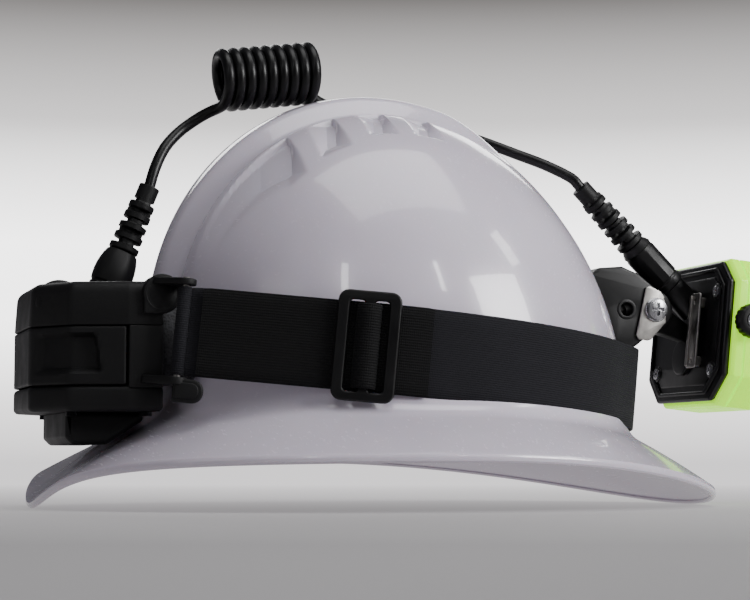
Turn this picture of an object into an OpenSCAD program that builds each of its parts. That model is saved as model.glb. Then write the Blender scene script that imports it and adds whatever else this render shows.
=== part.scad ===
/* [Hat] */
// Length of the hat over its brim
hat_len = 324; // [300:1:350]
// Width of the hat over its brim
hat_wid = 284; // [260:1:310]
// Length of the crown at its widest level
crown_len = 220.8; // [215:0.2:228]
// Width of the crown at its widest level
crown_wid = 196.8; // [188:0.2:204]
// Height of the crown above its widest level
crown_ht = 126; // [118:1:134]
// Thickness of the hat's wall
hat_wall = 2.6; // [2:0.1:3.4]
// Rise of the brim's sides above its front and rear tips
brim_rise = 20; // [10:1:26]
// Height of the ridge over the crown
ridge_ht = 6.5; // [3:0.5:8]
// Half width of the ridge at the top of the crown
ridge_half = 19; // [14:1:26]

/* [Suspension] */
// Height of the headband
band_ht = 28; // [22:1:32]
// Thickness of the headband
band_wall = 1.6; // [1.2:0.1:2.4]
// Radius of the size adjuster's knob
adjuster_r = 13; // [10:0.5:14]

/* [Strap] */
// Width of the elastic strap
strap_wid = 38; // [32:1:40]
// Thickness of one layer of the strap
strap_thk = 1.4; // [1:0.1:1.8]
// Forward slope of the strap in degrees
strap_tilt = 5.5; // [4:0.5:7]
// Length of the slider along the strap
slider_len = 27; // [22:1:30]
// Width of the slider's bars
slider_bar = 5; // [3.5:0.5:6]

/* [Bracket] */
// Half width of the bracket's block
block_half = 13; // [11:0.5:16]
// Radius of the cross bore through the block
cross_r = 3.3; // [2.5:0.1:3.8]
// Thickness of the steel side plates
plate_thk = 1.4; // [1:0.1:2]
// Radius of the pivot screw's shank
pivot_r = 2.5; // [2:0.1:3]
// Half thickness of the lamp's hinge lug
lug_half = 4; // [3:0.5:6]

/* [Lamp] */
// Width of the lamp's rear cover
cover_wid = 80; // [74:1:90]
// Height of the lamp's rear cover
cover_ht = 68; // [64:1:72]
// Depth of the lamp's front shell
shell_depth = 34; // [32:1:44]
// Thickness of the lamp's walls
shell_wall = 2.6; // [2:0.1:3.2]
// Downward aim of the lamp in degrees
lamp_aim = 6; // [0:1:10]
// Radius of the lens
lens_r = 26; // [24:0.5:27]
// Radius of the side knob
knob_r = 8.2; // [7:0.2:10]

/* [Battery pack] */
// Gap between the crown and the pack
pack_gap = 10.6; // [10.6:0.2:16]
// Depth of the pack beyond its two cells
pack_shell = 16.2; // [16.2:0.1:17.7]
// Thickness of the pack's walls
pack_wall = 2.2; // [1.8:0.1:2.6]
// Height of the pack's base above the brim tips
pack_z = 42; // [42:0.5:46]
// Radius of one battery cell
cell_r = 9.2; // [8.5:0.1:9.3]
// Length of one battery cell
cell_len = 64.4; // [60:0.2:65.2]

/* [Cord] */
// Diameter of the cord
cord_d = 5.3; // [4.5:0.1:5.5]
// Outer diameter of the coil
coil_d = 30; // [26:1:32]
// Length of the coil
coil_len = 52; // [46:1:54]

/* [Hidden] */
$fn = 48;
eps = 0.05;
seat_gap = 0.15;
run_gap = 0.05;
move_gap = 0.4;

// Crown and brim
crown_x = 8;
crown_z = 60;
crown_lean = 13;
lip_ht = 4;
join_z = 43;
front_dip = 11;
rise_front = 6;
rise_rear = 0.13;
ridge_rear_half = 9;
columns = 56;
crown_a = crown_len / 2;
crown_b = crown_wid / 2;

// Suspension
headband_a = crown_a - 18.4;
headband_b = crown_b - 22.4;
headband_x = 6;
headband_z = 23;
harness_r = crown_b - 5.7;
harness_x = 4;
harness_z = 57.3;
web_wid = 19;
web_thk = 1.4;
adjuster_z = headband_z + adjuster_r - 1;
adjuster_x = headband_x - headband_a - 2.3;

// Strap, counted out from the crown
strap_gap = 0.6;
strap_z = join_z + strap_wid / 2 + 3.5;
base_thk = 3;
layer_gap = 0.4;
straight_len = 79;
tangent_t = 112;
layer_start = 71;
layer_end_t = 97;
strap_a = crown_a + strap_gap;
strap_b = crown_b + strap_gap;
tangent_pt = [crown_x + strap_a * cos(tangent_t), strap_b * sin(tangent_t)];
tangent_dir = unit([strap_a * sin(tangent_t), -strap_b * cos(tangent_t), 0]);
tangent_turn = atan2(tangent_dir[1], tangent_dir[0]);
layer_y = strap_thk + layer_gap;
slider_y = layer_y + strap_thk + 0.5;
slider_thk = 2.7;
pin_r = 1.5;
pin_y = strap_thk / 2;
pin_reach = strap_wid / 2 + 4;

// Bracket and lamp, about the pivot
pivot_x = crown_x + crown_a + 21.1;
pivot_z = strap_z + strap_wid / 2 + 10;
cross_x = pivot_x - 15;
slot_x = pivot_x - 10;
lug_r = 8.5;
cover_x = 25;
cover_thk = 3;
cover_mid = -8;
cover_cut = 12;
rim = 2;
shell_x = cover_x + cover_thk + 0.8;
front_x = shell_x + shell_depth;
beam_z = cover_mid;
knob_x = 36;
knob_z = -3;
boot_turn = 38.5;
boot_seat = 6.4;
gland_len = 36;
boot_start = gland_len + 6.1;
screw_ring = [cover_wid / 2 - 11, cover_ht / 2 - 15];

// Battery pack
pack_front = crown_a - crown_x + pack_gap;
pack_depth = 4 * cell_r + pack_shell;
pack_rear = pack_front + pack_depth;
bay_z = pack_z + 11;
seam_z = bay_z + 2 * cell_r + 7.3;
pack_top = seam_z + 19.3;
door_end = pack_front + 15;
bay_half = cell_len / 2 + 2;
tray_z = bay_z + 0.4;
tray_thk = 1.4;
cell_z = tray_z + tray_thk + cell_r + run_gap;
front_cell_x = pack_front + cell_r + 5.2;
rear_cell_x = front_cell_x + 2 * cell_r + 0.4;
rear_boot_x = -(pack_front + 15);
rear_boot_lean = 22;
ear_z = strap_z + pack_front * sin(strap_tilt) + strap_wid / 2;

// The middle of the model between the lamp's bezel and the pack's rear face
bezel_r = lens_r + 4;
bezel_x = front_x + 1.5;
reach_x = pivot_x + bezel_x * cos(lamp_aim) + (beam_z + bezel_r) * sin(lamp_aim);
middle_x = (reach_x - pack_rear) / 2;

// Route of the cord, from the pack to the coil and from the coil to the lamp, on the usual crown
usual_a = 110.4;
usual_ht = 126;
rear_route = [for (p = [[-109, 0, 145], [-106, 1, 155], [-101, 4, 165], [-94, 7.5, 173], [-86, 8.5, 179.5],
    [-79.5, 5.5, 183.5], [-75, -0.5, 185.3]]) on_crown(p)];
front_route = [for (p = [[-29.2, 16.2, 200], [-26.3, 17, 195.2], [-19, 20, 192.6], [-8, 24, 191],
    [12, 28, 190], [32, 28, 188],
    [50, 27, 184], [66, 24, 179], [80, 18, 173], [91, 9, 167], [101.5, 1, 160], [106, 0, 155.3],
    [111.5, 0, 149.9]])
    on_crown(p)];
coil_rear = on_crown([-79, 0, 197]);
coil_front = on_crown([-27.4, 4, 205]);

function unit(v) = v / norm(v);
function clamp01(t) = min(1, max(0, t));
function smooth(a, b, v) = let (t = clamp01((v - a) / (b - a))) t * t * (3 - 2 * t);

// Moves a point of the cord's route as far as the crown below it has grown
function share(x) =
    x < -79 ? -0.48 - 0.52 * clamp01((-79 - x) / 30)
    : x < -26 ? -0.48 : -0.48 + 1.48 * clamp01((x + 26) / 136);
function on_crown(p) =
    p + [(crown_a - usual_a) * share(p[0]), 0, (crown_ht - usual_ht) * smooth(150, 185, p[2])];

// Height of the ridge on the crown: full over the top and the rear, fading at the front
function ridge(th, el) =
    let (along = atan2(sin(el), cos(el) * cos(th)),
        across = abs(crown_b * cos(el) * sin(th)),
        half = ridge_half + (ridge_rear_half - ridge_half) * smooth(90, 180, along))
    ridge_ht * smooth(50, 75, along) * smooth(half + 5, half - 5, across);

// A point of the crown, the wall's share t in from its outer face
function crown_at(th, el, t) =
    let (r = ridge(th, el) - t)
    [crown_x - crown_lean * sin(el) + (crown_a + r) * cos(el) * cos(th),
        (crown_b + r) * cos(el) * sin(th), crown_z + (crown_ht + r) * sin(el)];

// Height of the lip's lower edge round the brim: the tips are low, and the rear one rises sooner
function rise(th) =
    let (q = pow(sin(th), 2), k = cos(th) > 0 ? rise_front : rise_rear) brim_rise * q * (1 + k) / (q + k);

// A point of the brim: s is 0 at the crown and 1 at the lip
function brim_at(th, s, t) =
    let (x0 = crown_x + (crown_a - t + ridge(th, 0)) * cos(th), y0 = (crown_b - t) * sin(th),
        x1 = hat_len / 2 * cos(th), y1 = hat_wid / 2 * sin(th),
        low = rise(th) + lip_ht,
        high = join_z - front_dip * pow(max(0, cos(th)), 2), q = 1 - s)
    [x0 + (x1 - x0) * s, y0 + (y1 - y0) * s, low + (high - low) * q * (1.15 - 0.15 * q) - 1.3 * t];

function lip_at(th, s) =
    let (p = brim_at(th, s, 0)) [p[0], p[1], rise(th)];

hat_rings = concat(
    [for (el = [82:-8:2]) [0, el]],
    [for (s = [0, 0.15, 0.32, 0.5, 0.68, 0.86, 1]) [1, s]],
    [[2, 1], [2, 0.96]],
    [for (s = [0.88, 0.68, 0.45, 0.22, 0]) [3, s]],
    [for (el = [2:10:82]) [4, el]]);

function ring_pt(kind, v, th) =
    kind == 0 ? crown_at(th, v, 0) : kind == 1 ? brim_at(th, v, 0) : kind == 2 ? lip_at(th, v)
    : kind == 3 ? brim_at(th, v, hat_wall) : crown_at(th, v, hat_wall);

// A closed skin over rings of n points each, from one pole to the other
module ringed_skin(pole_a, rings, pole_b) {
    n = len(rings[0]);
    last = len(rings) - 1;
    points = concat([pole_a], [for (r = rings, p = r) p], [pole_b]);
    faces = concat(
        [for (j = [0:n - 1]) [0, 1 + (j + 1) % n, 1 + j]],
        [for (i = [0:last - 1], j = [0:n - 1], half = [0, 1])
            let (k = (j + 1) % n, a = 1 + i * n, b = a + n)
            half == 0 ? [a + j, a + k, b + k] : [a + j, b + k, b + j]],
        [for (j = [0:n - 1]) [1 + (last + 1) * n, 1 + last * n + j, 1 + last * n + (j + 1) % n]]);
    polyhedron(points = points, faces = faces);
}

// A point of a smooth curve through the chosen points
function curve_pt(p, i, t) =
    let (n = len(p) - 1, a = p[max(0, i - 1)], b = p[i], c = p[min(n, i + 1)], d = p[min(n, i + 2)])
    0.5 * (2 * b + (c - a) * t + (2 * a - 5 * b + 4 * c - d) * t * t + (3 * b - a - 3 * c + d) * t * t * t);
function curve(p, per) =
    concat([for (i = [0:len(p) - 2], k = [0:per - 1]) curve_pt(p, i, k / per)], [p[len(p) - 1]]);

// A round tube of radius r swept along a path
module swept_tube(path, r, sides) {
    last = len(path) - 1;
    rings = [for (i = [0:last])
        let (t = unit(path[min(last, i + 1)] - path[max(0, i - 1)]),
            a = unit(cross(t, [0, 1, 0])), b = cross(t, a))
        [for (k = [0:sides - 1]) path[i] + r * (cos(360 * k / sides) * a + sin(360 * k / sides) * b)]];
    ringed_skin(path[0], rings, path[last]);
}

// Frames: the hat's own, the strap's sloping plane, the lamp about its pivot
module in_hat() { translate([-middle_x, 0, 0]) children(); }
module in_strap() { in_hat() translate([0, 0, strap_z]) rotate([0, strap_tilt, 0]) children(); }
module on_side(side) { if (side > 0) children(); else mirror([0, 1, 0]) children(); }
module on_tangent(side) {
    in_strap() on_side(side) translate([tangent_pt[0], tangent_pt[1], 0]) rotate([0, 0, tangent_turn])
        children();
}
module in_lamp() { in_hat() translate([pivot_x, 0, pivot_z]) rotate([0, lamp_aim, 0]) children(); }
module along_y(len) { rotate([90, 0, 0]) linear_extrude(len, center = true) children(); }
module along_x(len) { rotate([90, 0, 90]) linear_extrude(len) children(); }
module bar_y(r, len) { rotate([90, 0, 0]) cylinder(r = r, h = len, center = true); }

// ---------- Hat and suspension

module hat_shell() {
    rings = [for (q = hat_rings) [for (j = [0:columns - 1]) ring_pt(q[0], q[1], 360 * j / columns)]];
    in_hat() color("gainsboro") ringed_skin(crown_at(0, 90, 0), rings, crown_at(0, 90, hat_wall));
}

// Outline of an oval, as a polygon
function oval(a, b, from = 0, to = 360, step = 5) = [for (t = [from:step:to]) [a * cos(t), b * sin(t)]];
module oval_band(a, b, wall, from, to) {
    inner = [for (t = [to:-5:from]) [(a - wall) * cos(t), (b - wall) * sin(t)]];
    polygon(concat(oval(a, b, from, to), inner));
}

module headband() {
    in_hat() color("dimgray") translate([headband_x, 0, headband_z]) linear_extrude(band_ht) difference() {
        polygon(oval(headband_a, headband_b, 0, 355));
        polygon(oval(headband_a - band_wall, headband_b - band_wall, 0, 355));
    }
}

module brow_pad() {
    pad_a = headband_a - band_wall - seat_gap;
    pad_b = headband_b - band_wall - seat_gap;
    in_hat() color("black") translate([headband_x, 0, headband_z + 2]) linear_extrude(band_ht - 4)
        oval_band(pad_a, pad_b, 3, -60, 60);
}

// One web over the head, a round arc in an upright plane that ends a little below its centre
module web(turn, drop) {
    below = 6;
    translate([harness_x, 0, harness_z]) rotate([0, 0, turn]) rotate([90, 0, 0]) rotate([0, 0, -below])
        rotate_extrude(angle = 180 + 2 * below) translate([harness_r - drop, 0])
            square([web_thk, web_wid], center = true);
}

module crown_straps() {
    in_hat() color("dimgray") {
        web(45, 0);
        web(-45, 2.2);
    }
}

module suspension_key() {
    translate([0.9, -7, -16]) cube([3.4, 14, 21]);
    translate([-4.8, -7, -18]) cube([9.1, 14, 2.2]);
    translate([-4.8, -7, -26]) cube([1.5, 14, 8.5]);
}

module suspension_keys() {
    in_hat() color("black") translate([harness_x, 0, harness_z]) for (turn = [45:90:315])
        rotate([0, 0, turn]) translate([harness_r, 0, 0]) suspension_key();
}

module nape_strap() {
    in_hat() color("dimgray") translate([headband_x, 0, adjuster_z - 9]) linear_extrude(18)
        oval_band(headband_a + 2, headband_b + 2, 1.4, 110, 250);
}

module adjuster_housing() {
    in_hat() color("black") translate([adjuster_x, 0, adjuster_z]) rotate([0, -90, 0]) {
        difference() {
            linear_extrude(4) square([20, 44], center = true);
            translate([0, 0, -1]) cylinder(r = 3 + run_gap, h = 6);
        }
    }
}

module adjuster_knob() {
    in_hat() color("black") translate([adjuster_x, 0, adjuster_z]) rotate([0, -90, 0]) {
        translate([0, 0, 0.4]) cylinder(r = 3, h = 4.5);
        translate([0, 0, 4 + move_gap]) difference() {
            cylinder(r = adjuster_r, h = 6);
            for (turn = [0:30:330]) rotate([0, 0, turn]) translate([adjuster_r + 1, 0, -1])
                cylinder(r = 2, h = 8);
        }
    }
}

// ---------- Strap

// The strap's plane slopes, so its lower edge leans in at the front,
// and the bracket's base lies under it there
function lean(t) = strap_wid / 2 * sin(strap_tilt) * max(0, cos(t));
function lift(t) = strap_gap + lean(t) + (base_thk + 0.4) * smooth(38, 22, abs(t));
function strap_pt(t, out) =
    [crown_x + (crown_a + lift(t) + out) * cos(t), (crown_b + lift(t) + out) * sin(t)];
function straight_pt(s, out, side) =
    let (d = tangent_dir)
    [tangent_pt[0] - s * d[0] - out * d[1], side * (tangent_pt[1] - s * d[1] + out * d[0])];

module strap_band() {
    step = 3;
    t1 = tangent_t - step;
    arc_out = [for (t = [-t1:step:t1]) strap_pt(t, strap_thk)];
    arc_in = [for (t = [t1:-step:-t1]) strap_pt(t, 0)];
    in_strap() color([0.16, 0.16, 0.19]) linear_extrude(strap_wid, center = true) difference() {
        union() {
            polygon(concat(
                [straight_pt(straight_len, strap_thk, -1), straight_pt(0, strap_thk, -1)], arc_out,
                [straight_pt(0, strap_thk, 1), straight_pt(straight_len, strap_thk, 1)],
                [straight_pt(straight_len, 0, 1), straight_pt(0, 0, 1)], arc_in,
                [straight_pt(0, 0, -1), straight_pt(straight_len, 0, -1)]));
            for (side = [-1, 1]) translate(straight_pt(straight_len, pin_y, side))
                circle(r = pin_r + strap_thk + 0.1);
        }
        for (side = [-1, 1]) translate(straight_pt(straight_len, pin_y, side)) circle(r = pin_r + 0.1);
    }
}

module strap_layer(side) {
    low = layer_gap + strap_thk;
    high = low + strap_thk;
    step = 3;
    arc_out = [for (t = [tangent_t - step:-step:layer_end_t]) strap_pt(t, high)];
    arc_in = [for (t = [layer_end_t + step / 3:step:tangent_t - 1]) strap_pt(t, low)];
    in_strap() on_side(side) color([0.05, 0.05, 0.05]) linear_extrude(strap_wid, center = true)
        polygon(concat([straight_pt(layer_start, high, 1), straight_pt(0, high, 1)], arc_out, arc_in,
            [straight_pt(0, low, 1), straight_pt(layer_start, low, 1)]));
}
module strap_layer_near() { strap_layer(-1); }
module strap_layer_far() { strap_layer(1); }

module rounded_box(len, wid, r) {
    for (x = [-1, 1], y = [-1, 1]) translate([x * (len / 2 - r), y * (wid / 2 - r)]) circle(r = r);
    square([len - 2 * r, wid], center = true);
    square([len, wid - 2 * r], center = true);
}

module slider(side) {
    height = strap_wid + 9;
    window = (slider_len - 2 * slider_bar - 4) / 2;
    on_tangent(side) color([0.05, 0.05, 0.05]) translate([0, slider_y + slider_thk, 0]) rotate([90, 0, 0])
        linear_extrude(slider_thk) difference() {
            rounded_box(slider_len, height, 4);
            for (x = [-1, 1]) translate([x * (window / 2 + 2), 0])
                square([window, strap_wid + 0.8], center = true);
        }
}
module slider_near() { slider(-1); }
module slider_far() { slider(1); }

module slider_loop(side) {
    on_tangent(side) color([0.09, 0.09, 0.1]) translate([0, slider_y - 0.1, 0])
        linear_extrude(strap_wid - 2, center = true) intersection() {
            difference() {
                circle(r = 3.8 + strap_thk);
                circle(r = 3.8);
            }
            translate([-8, 0]) square([16, 8]);
        }
}
module slider_loop_near() { slider_loop(-1); }
module slider_loop_far() { slider_loop(1); }

module strap_pins() {
    in_strap() color("silver") for (side = [-1, 1])
        translate(concat(straight_pt(straight_len, pin_y, side), [-pin_reach]))
            cylinder(r = pin_r, h = 2 * pin_reach);
}

// Ear that holds the end of a strap pin
module pin_ear(side, low, thk) {
    pin = straight_pt(straight_len, pin_y, side);
    translate([0, 0, low]) linear_extrude(thk) difference() {
        union() {
            translate(pin) circle(r = 4.5);
            polygon([[-pack_front - 8, side * 45], [-pack_front - 8, side * 57.5], pin + [-3, side * 3.4],
                pin + [4.4, -side * 1], [-pack_front + 3, side * 50], [-pack_front, side * 45]]);
        }
        translate(pin) circle(r = pin_r + 0.1);
    }
}

// Lower arm at each end of the pack: a keeper tab below the strap and the lower pin ear
module side_arm(side) {
    low = -strap_wid / 2;
    difference() {
        union() {
            in_strap() difference() {
                pin_ear(side, low - 4.2, 3.6);
                translate([-pack_front - 30, side > 0 ? 0 : -58.6, low - 9]) cube([50, 58.6, 12]);
            }
            on_tangent(side) translate([-straight_len + 7, 0.6, low - 6.4]) rotate([-90, 0, 0])
                linear_extrude(3.4) {
                    circle(r = 5);
                    translate([-8, -5]) square([8, 10]);
                }
        }
        in_strap() translate(concat(straight_pt(straight_len, pin_y, side), [-pin_reach - 0.5]))
            cylinder(r = pin_r + 0.1, h = 9);
    }
}
module side_arms() {
    color([0.05, 0.05, 0.05]) {
        side_arm(-1);
        side_arm(1);
    }
}

// ---------- Bracket

module lamp_bracket() {
    base_half = 17;
    base_low = -strap_wid / 2 + 2;
    base_top = strap_wid / 2 + 2.5;
    p = [pivot_x, pivot_z];
    color([0.04, 0.04, 0.04]) {
        in_strap() translate([0, 0, base_low]) linear_extrude(base_top - base_low) polygon(concat(
            [for (t = [-base_half:base_half / 4:base_half]) strap_pt(t, -0.4)],
            [for (t = [base_half:-base_half / 4:-base_half]) strap_pt(t, -base_thk)]));
        in_hat() difference() {
            along_y(2 * block_half) {
                polygon([p + [-21.4, -20.6], p + [-27, 0], p + [-34, 16.5], p + [-29, 20], p + [-17, 21],
                    p + [-8, 17.5], p + [5, 8.6], p + [3, -9.5], p + [-9, -17.5], p + [-16, -20.6]]);
                translate(p) circle(r = 10);
            }
            translate([slot_x, -lug_half - move_gap, pivot_z - 40]) cube([40, 2 * (lug_half + move_gap), 80]);
            translate([pivot_x, 0, pivot_z]) bar_y(pivot_r + 0.1, 3 * block_half);
            translate([cross_x, 0, pivot_z]) bar_y(cross_r, 3 * block_half);
        }
    }
}

module bracket_plates() {
    p = [pivot_x, pivot_z];
    in_hat() color("silver") for (side = [-1, 1])
        translate([0, side * (block_half + plate_thk / 2), 0]) difference() {
            along_y(plate_thk) polygon([p + [-5, 11], p + [-3.2, 11.6], p + [2.6, 9.2], p + [4.6, 6.5],
                p + [5.4, 1.9], p + [5.4, -6], p + [-2.6, -14.6], p + [-4.6, -15.2], p + [-9.6, -14.4],
                p + [-10.6, -12.6]]);
            translate([pivot_x, 0, pivot_z]) bar_y(pivot_r + 0.1, 2 * plate_thk);
        }
}

module pivot_screw() {
    face = block_half + plate_thk;
    in_hat() color("silver") translate([pivot_x, 0, pivot_z]) rotate([90, 0, 0]) {
        translate([0, 0, -face - 5]) cylinder(r = pivot_r, h = 2 * face + 5 + eps);
        difference() {
            union() {
                translate([0, 0, face + 0.05]) cylinder(r = 5.8, h = 1.6);
                translate([0, 0, face + 1.6]) cylinder(r1 = 5.8, r2 = 3.8, h = 1.5);
            }
            for (turn = [0, 90]) rotate([0, 0, turn]) translate([-3.2, -0.6, face + 1.5]) cube([6.4, 1.2, 3]);
        }
    }
}

module pivot_nut() {
    in_hat() color("silver") translate([pivot_x, block_half + plate_thk + 0.1, pivot_z]) rotate([-90, 0, 0])
        difference() {
            cylinder(r = 5, h = 4, $fn = 6);
            translate([0, 0, -1]) cylinder(r = pivot_r + 0.05, h = 6);
        }
}

// ---------- Lamp

// Outline of the lamp seen from behind, with its corners cut
module lamp_outline(wid, ht, cut) {
    w = wid / 2;
    h = ht / 2;
    polygon([[-w, -h + cut], [-w + cut, -h], [w - cut, -h], [w, -h + cut],
        [w, h - cut * 0.8], [w - cut * 0.8, h], [-w + cut * 0.8, h], [-w, h - cut * 0.8]]);
}
module lamp_slab(x, len, grow, cut = cover_cut) {
    translate([x, 0, cover_mid]) along_x(len) lamp_outline(cover_wid + 2 * grow, cover_ht + 2 * grow, cut);
}
module at_screws(x) {
    for (y = [-1, 1], z = [-1, 1]) translate([x, y * screw_ring[0], cover_mid + z * screw_ring[1]])
        rotate([0, 90, 0]) children();
}

module lamp_rear_cover() {
    in_lamp() color([0.04, 0.04, 0.04]) difference() {
        union() {
            lamp_slab(cover_x, cover_thk, 0);
            difference() {
                lamp_slab(cover_x - 1, 1 + eps, -3);
                lamp_slab(cover_x - 2, 3, -4.6);
            }
            along_y(2 * lug_half) {
                circle(r = lug_r);
                polygon([[0, -lug_r], [cover_x + 1, -13], [cover_x + 1, -5.2], [7, 4.5]]);
            }
            translate([cover_x - 3, 0, -20]) rotate([0, 90, 0]) cylinder(r = 9, h = 4);
        }
        bar_y(pivot_r + run_gap, 4 * lug_half);
        at_screws(cover_x - 5) cylinder(r = 1.7, h = 20);
    }
}

module lamp_gasket() {
    in_lamp() color([0.1, 0.1, 0.1]) difference() {
        lamp_slab(cover_x + cover_thk + 0.05, 0.7, -1);
        lamp_slab(cover_x, 10, -2.6);
        at_screws(cover_x) cylinder(r = 1.9, h = 20);
    }
}

// Faceted body of the front shell: three outlines that cut one another
module shell_body(inset) {
    w = cover_wid / 2 + rim - inset;
    h = cover_ht / 2 + rim - inset;
    x1 = front_x - inset;
    intersection() {
        lamp_slab(shell_x - (inset > 0 ? 1 : 0), shell_depth + (inset > 0 ? 1 - inset : 0), rim - inset,
            cover_cut + 2);
        translate([0, 0, cover_mid]) along_y(200) polygon([[shell_x - 2, -h], [x1 - 14, -h], [x1, -h + 9],
            [x1, h - 7], [x1 - 9, h], [shell_x - 2, h]]);
        translate([0, 0, -100]) linear_extrude(200) polygon([[shell_x - 2, -w], [x1 - 12, -w], [x1, -w + 9],
            [x1, w - 9], [x1 - 12, w], [shell_x - 2, w]]);
    }
}

module lamp_shell() {
    in_lamp() color([0.64, 0.84, 0.24]) {
        difference() {
            shell_body(0);
            shell_body(shell_wall);
            translate([front_x - 10, 0, beam_z]) rotate([0, 90, 0]) cylinder(r = lens_r + 0.2, h = 20);
            translate([knob_x, -cover_wid / 2, knob_z]) bar_y(3 + run_gap, 20);
        }
        difference() {
            union() {
                at_screws(shell_x) cylinder(r = 3.4, h = 12);
                for (y = [-1, 1], z = [-1, 1])
                    translate([shell_x + 1, y > 0 ? screw_ring[0] : -cover_wid / 2,
                        cover_mid + z * screw_ring[1] - 1]) cube([11, cover_wid / 2 - screw_ring[0], 2]);
            }
            at_screws(shell_x - 1) cylinder(r = 1.35, h = 10);
        }
    }
}

module lens_bezel() {
    in_lamp() color([0.05, 0.05, 0.05]) translate([0, 0, beam_z]) rotate([0, 90, 0]) difference() {
        translate([0, 0, front_x + 0.05]) cylinder(r = bezel_r, h = 1.45);
        translate([0, 0, front_x - 1]) cylinder(r = lens_r - 2.5, h = 4);
    }
}

module lens() {
    in_lamp() color([0.8, 0.9, 1, 0.5]) translate([front_x - 2.6, 0, beam_z]) rotate([0, 90, 0])
        cylinder(r = lens_r, h = 2.6);
}

module reflector() {
    depth = 20;
    back = front_x - 2.7 - depth;
    bowl = [for (k = [0:6]) let (x = depth * k / 6) [4 + (lens_r - 6) * sqrt(x / depth), x]];
    in_lamp() color("white") translate([back, 0, beam_z]) rotate([0, 90, 0]) rotate_extrude()
        polygon(concat(bowl, [[lens_r - 0.3, depth], [lens_r - 0.3, depth - 1.2]],
            [for (k = [5:-1:0]) bowl[k] + [1.2, -0.2]], [[5.2, 0]]));
}

module led_module() {
    in_lamp() translate([front_x - 26, 0, beam_z]) rotate([0, 90, 0]) {
        color("green") cylinder(r = 10, h = 1.6, $fn = 12);
        color("yellow") translate([0, 0, 1.5]) cylinder(r = 2.6, h = 1.6);
    }
}

module heat_sink() {
    in_lamp() color("silver") translate([front_x - 26 - 4.1, 0, beam_z]) rotate([0, 90, 0]) {
        cylinder(r = 13, h = 4);
        for (y = [-9:6:9]) translate([-8, y - 0.7, -3.2]) cube([16, 1.4, 3.4]);
    }
}

module driver_board() {
    in_lamp() translate([shell_x + 0.2, 13, beam_z - 16]) {
        color("darkgreen") cube([1.4, 12, 32]);
        color("black") translate([1.3, 4, 6]) cube([2, 6, 7]);
    }
}

module cover_screws() {
    in_lamp() color("silver") at_screws(cover_x - 1.8) {
        cylinder(r = 2.8, h = 1.75);
        cylinder(r = 1.25, h = 11);
    }
}

module cover_clip() {
    in_lamp() color("silver") difference() {
        union() {
            translate([cover_x - 4.2, -19, -26]) cube([1.2, 10, 37]);
            for (z = [-25, 4]) translate([cover_x - 4.2, -17.5, z]) cube([4.15, 7, 5]);
        }
        for (z = [-22.5, 6.5]) translate([cover_x - 6, -14, z]) rotate([0, 90, 0]) cylinder(r = 1.2, h = 8);
    }
}

module side_knob() {
    face = cover_wid / 2 + rim;
    in_lamp() color([0.05, 0.05, 0.05]) translate([knob_x, 0, knob_z]) rotate([90, 0, 0]) difference() {
        union() {
            translate([0, 0, face + move_gap]) cylinder(r = knob_r, h = 5.2);
            translate([0, 0, face + move_gap + 5.1]) cylinder(r1 = knob_r, r2 = knob_r - 1.2, h = 1.4);
            translate([0, 0, face - 6]) cylinder(r = 3, h = 7);
        }
        translate([0, 0, face + 5.5]) cylinder(r = 4.1, h = 5);
    }
}

module knob_cap() {
    in_lamp() color("silver") translate([knob_x, -cover_wid / 2 - rim - 5.6, knob_z]) rotate([90, 0, 0])
        difference() {
            cylinder(r = 3.9, h = 1);
            translate([-3, -0.5, 0.6]) cube([6, 1, 1]);
        }
}

module switch_module() {
    in_lamp() color("dimgray") translate([knob_x, -cover_wid / 2 - rim + shell_wall + 0.1, knob_z])
        difference() {
            translate([-6, 0, -6]) cube([12, 5, 12]);
            bar_y(3 + move_gap, 20);
        }
}

// Flanged connector on the rear cover that the boot grows out of
module at_boot() {
    in_lamp() translate([cover_x - 1.2, 0, boot_seat]) rotate([0, boot_turn - 90, 0]) children();
}

module front_gland() {
    color([0.05, 0.05, 0.05]) difference() {
        at_boot() {
            translate([0, 0, 14.5]) cylinder(r = 8, h = gland_len - 11, $fn = 12);
            translate([0, 0, -6]) cylinder(r = 7, h = 21);
            translate([0, 0, gland_len + 3]) cylinder(r1 = 8, r2 = 6, h = 3, $fn = 12);
        }
        in_lamp() translate([cover_x - 0.05, -20, -20]) cube([20, 40, 60]);
    }
}

// Ribbed strain relief: a core with discs and a collar at its tip
module ribbed_boot(len, ribs, r, collar) {
    pitch = (len - collar) / ribs;
    difference() {
        union() {
            cylinder(r = cord_d / 2 + 1.4, h = len - 1);
            for (k = [0:ribs - 1]) translate([0, 0, k * pitch])
                cylinder(r = r - k * 0.25, h = pitch * 0.55);
            translate([0, 0, len - collar]) cylinder(r = 4.8, h = collar);
        }
        translate([0, 0, len - collar - 6]) cylinder(r = cord_d / 2 + 0.05, h = collar + 7);
    }
}

module front_boot() {
    color([0.05, 0.05, 0.05]) at_boot() translate([0, 0, boot_start]) ribbed_boot(39, 6, 7.2, 8);
}

// ---------- Battery pack

// Outline of the pack seen from above; grow moves it out, and it wraps the back of the hat
module pack_outline(grow, front) {
    r = -pack_rear - grow;
    a = 24 + grow * 0.5;
    b = 45 + grow;
    c = 54 + grow;
    polygon([[r, -a], [r + 14, -b], [r + 38 + grow, -c], [-front, -c - 2],
        [-front, c + 2], [r + 38 + grow, c], [r + 14, b], [r, a]]);
}
module pack_slab(low, high, grow, front = pack_front) {
    translate([0, 0, low]) linear_extrude(high - low) pack_outline(grow, front);
}
module at_pack_screws() {
    for (y = [-1, 1]) {
        translate([-pack_front - 6, y * 47, 0]) children();
        translate([-pack_front - 36, y * 38, 0]) children();
    }
}

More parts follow.
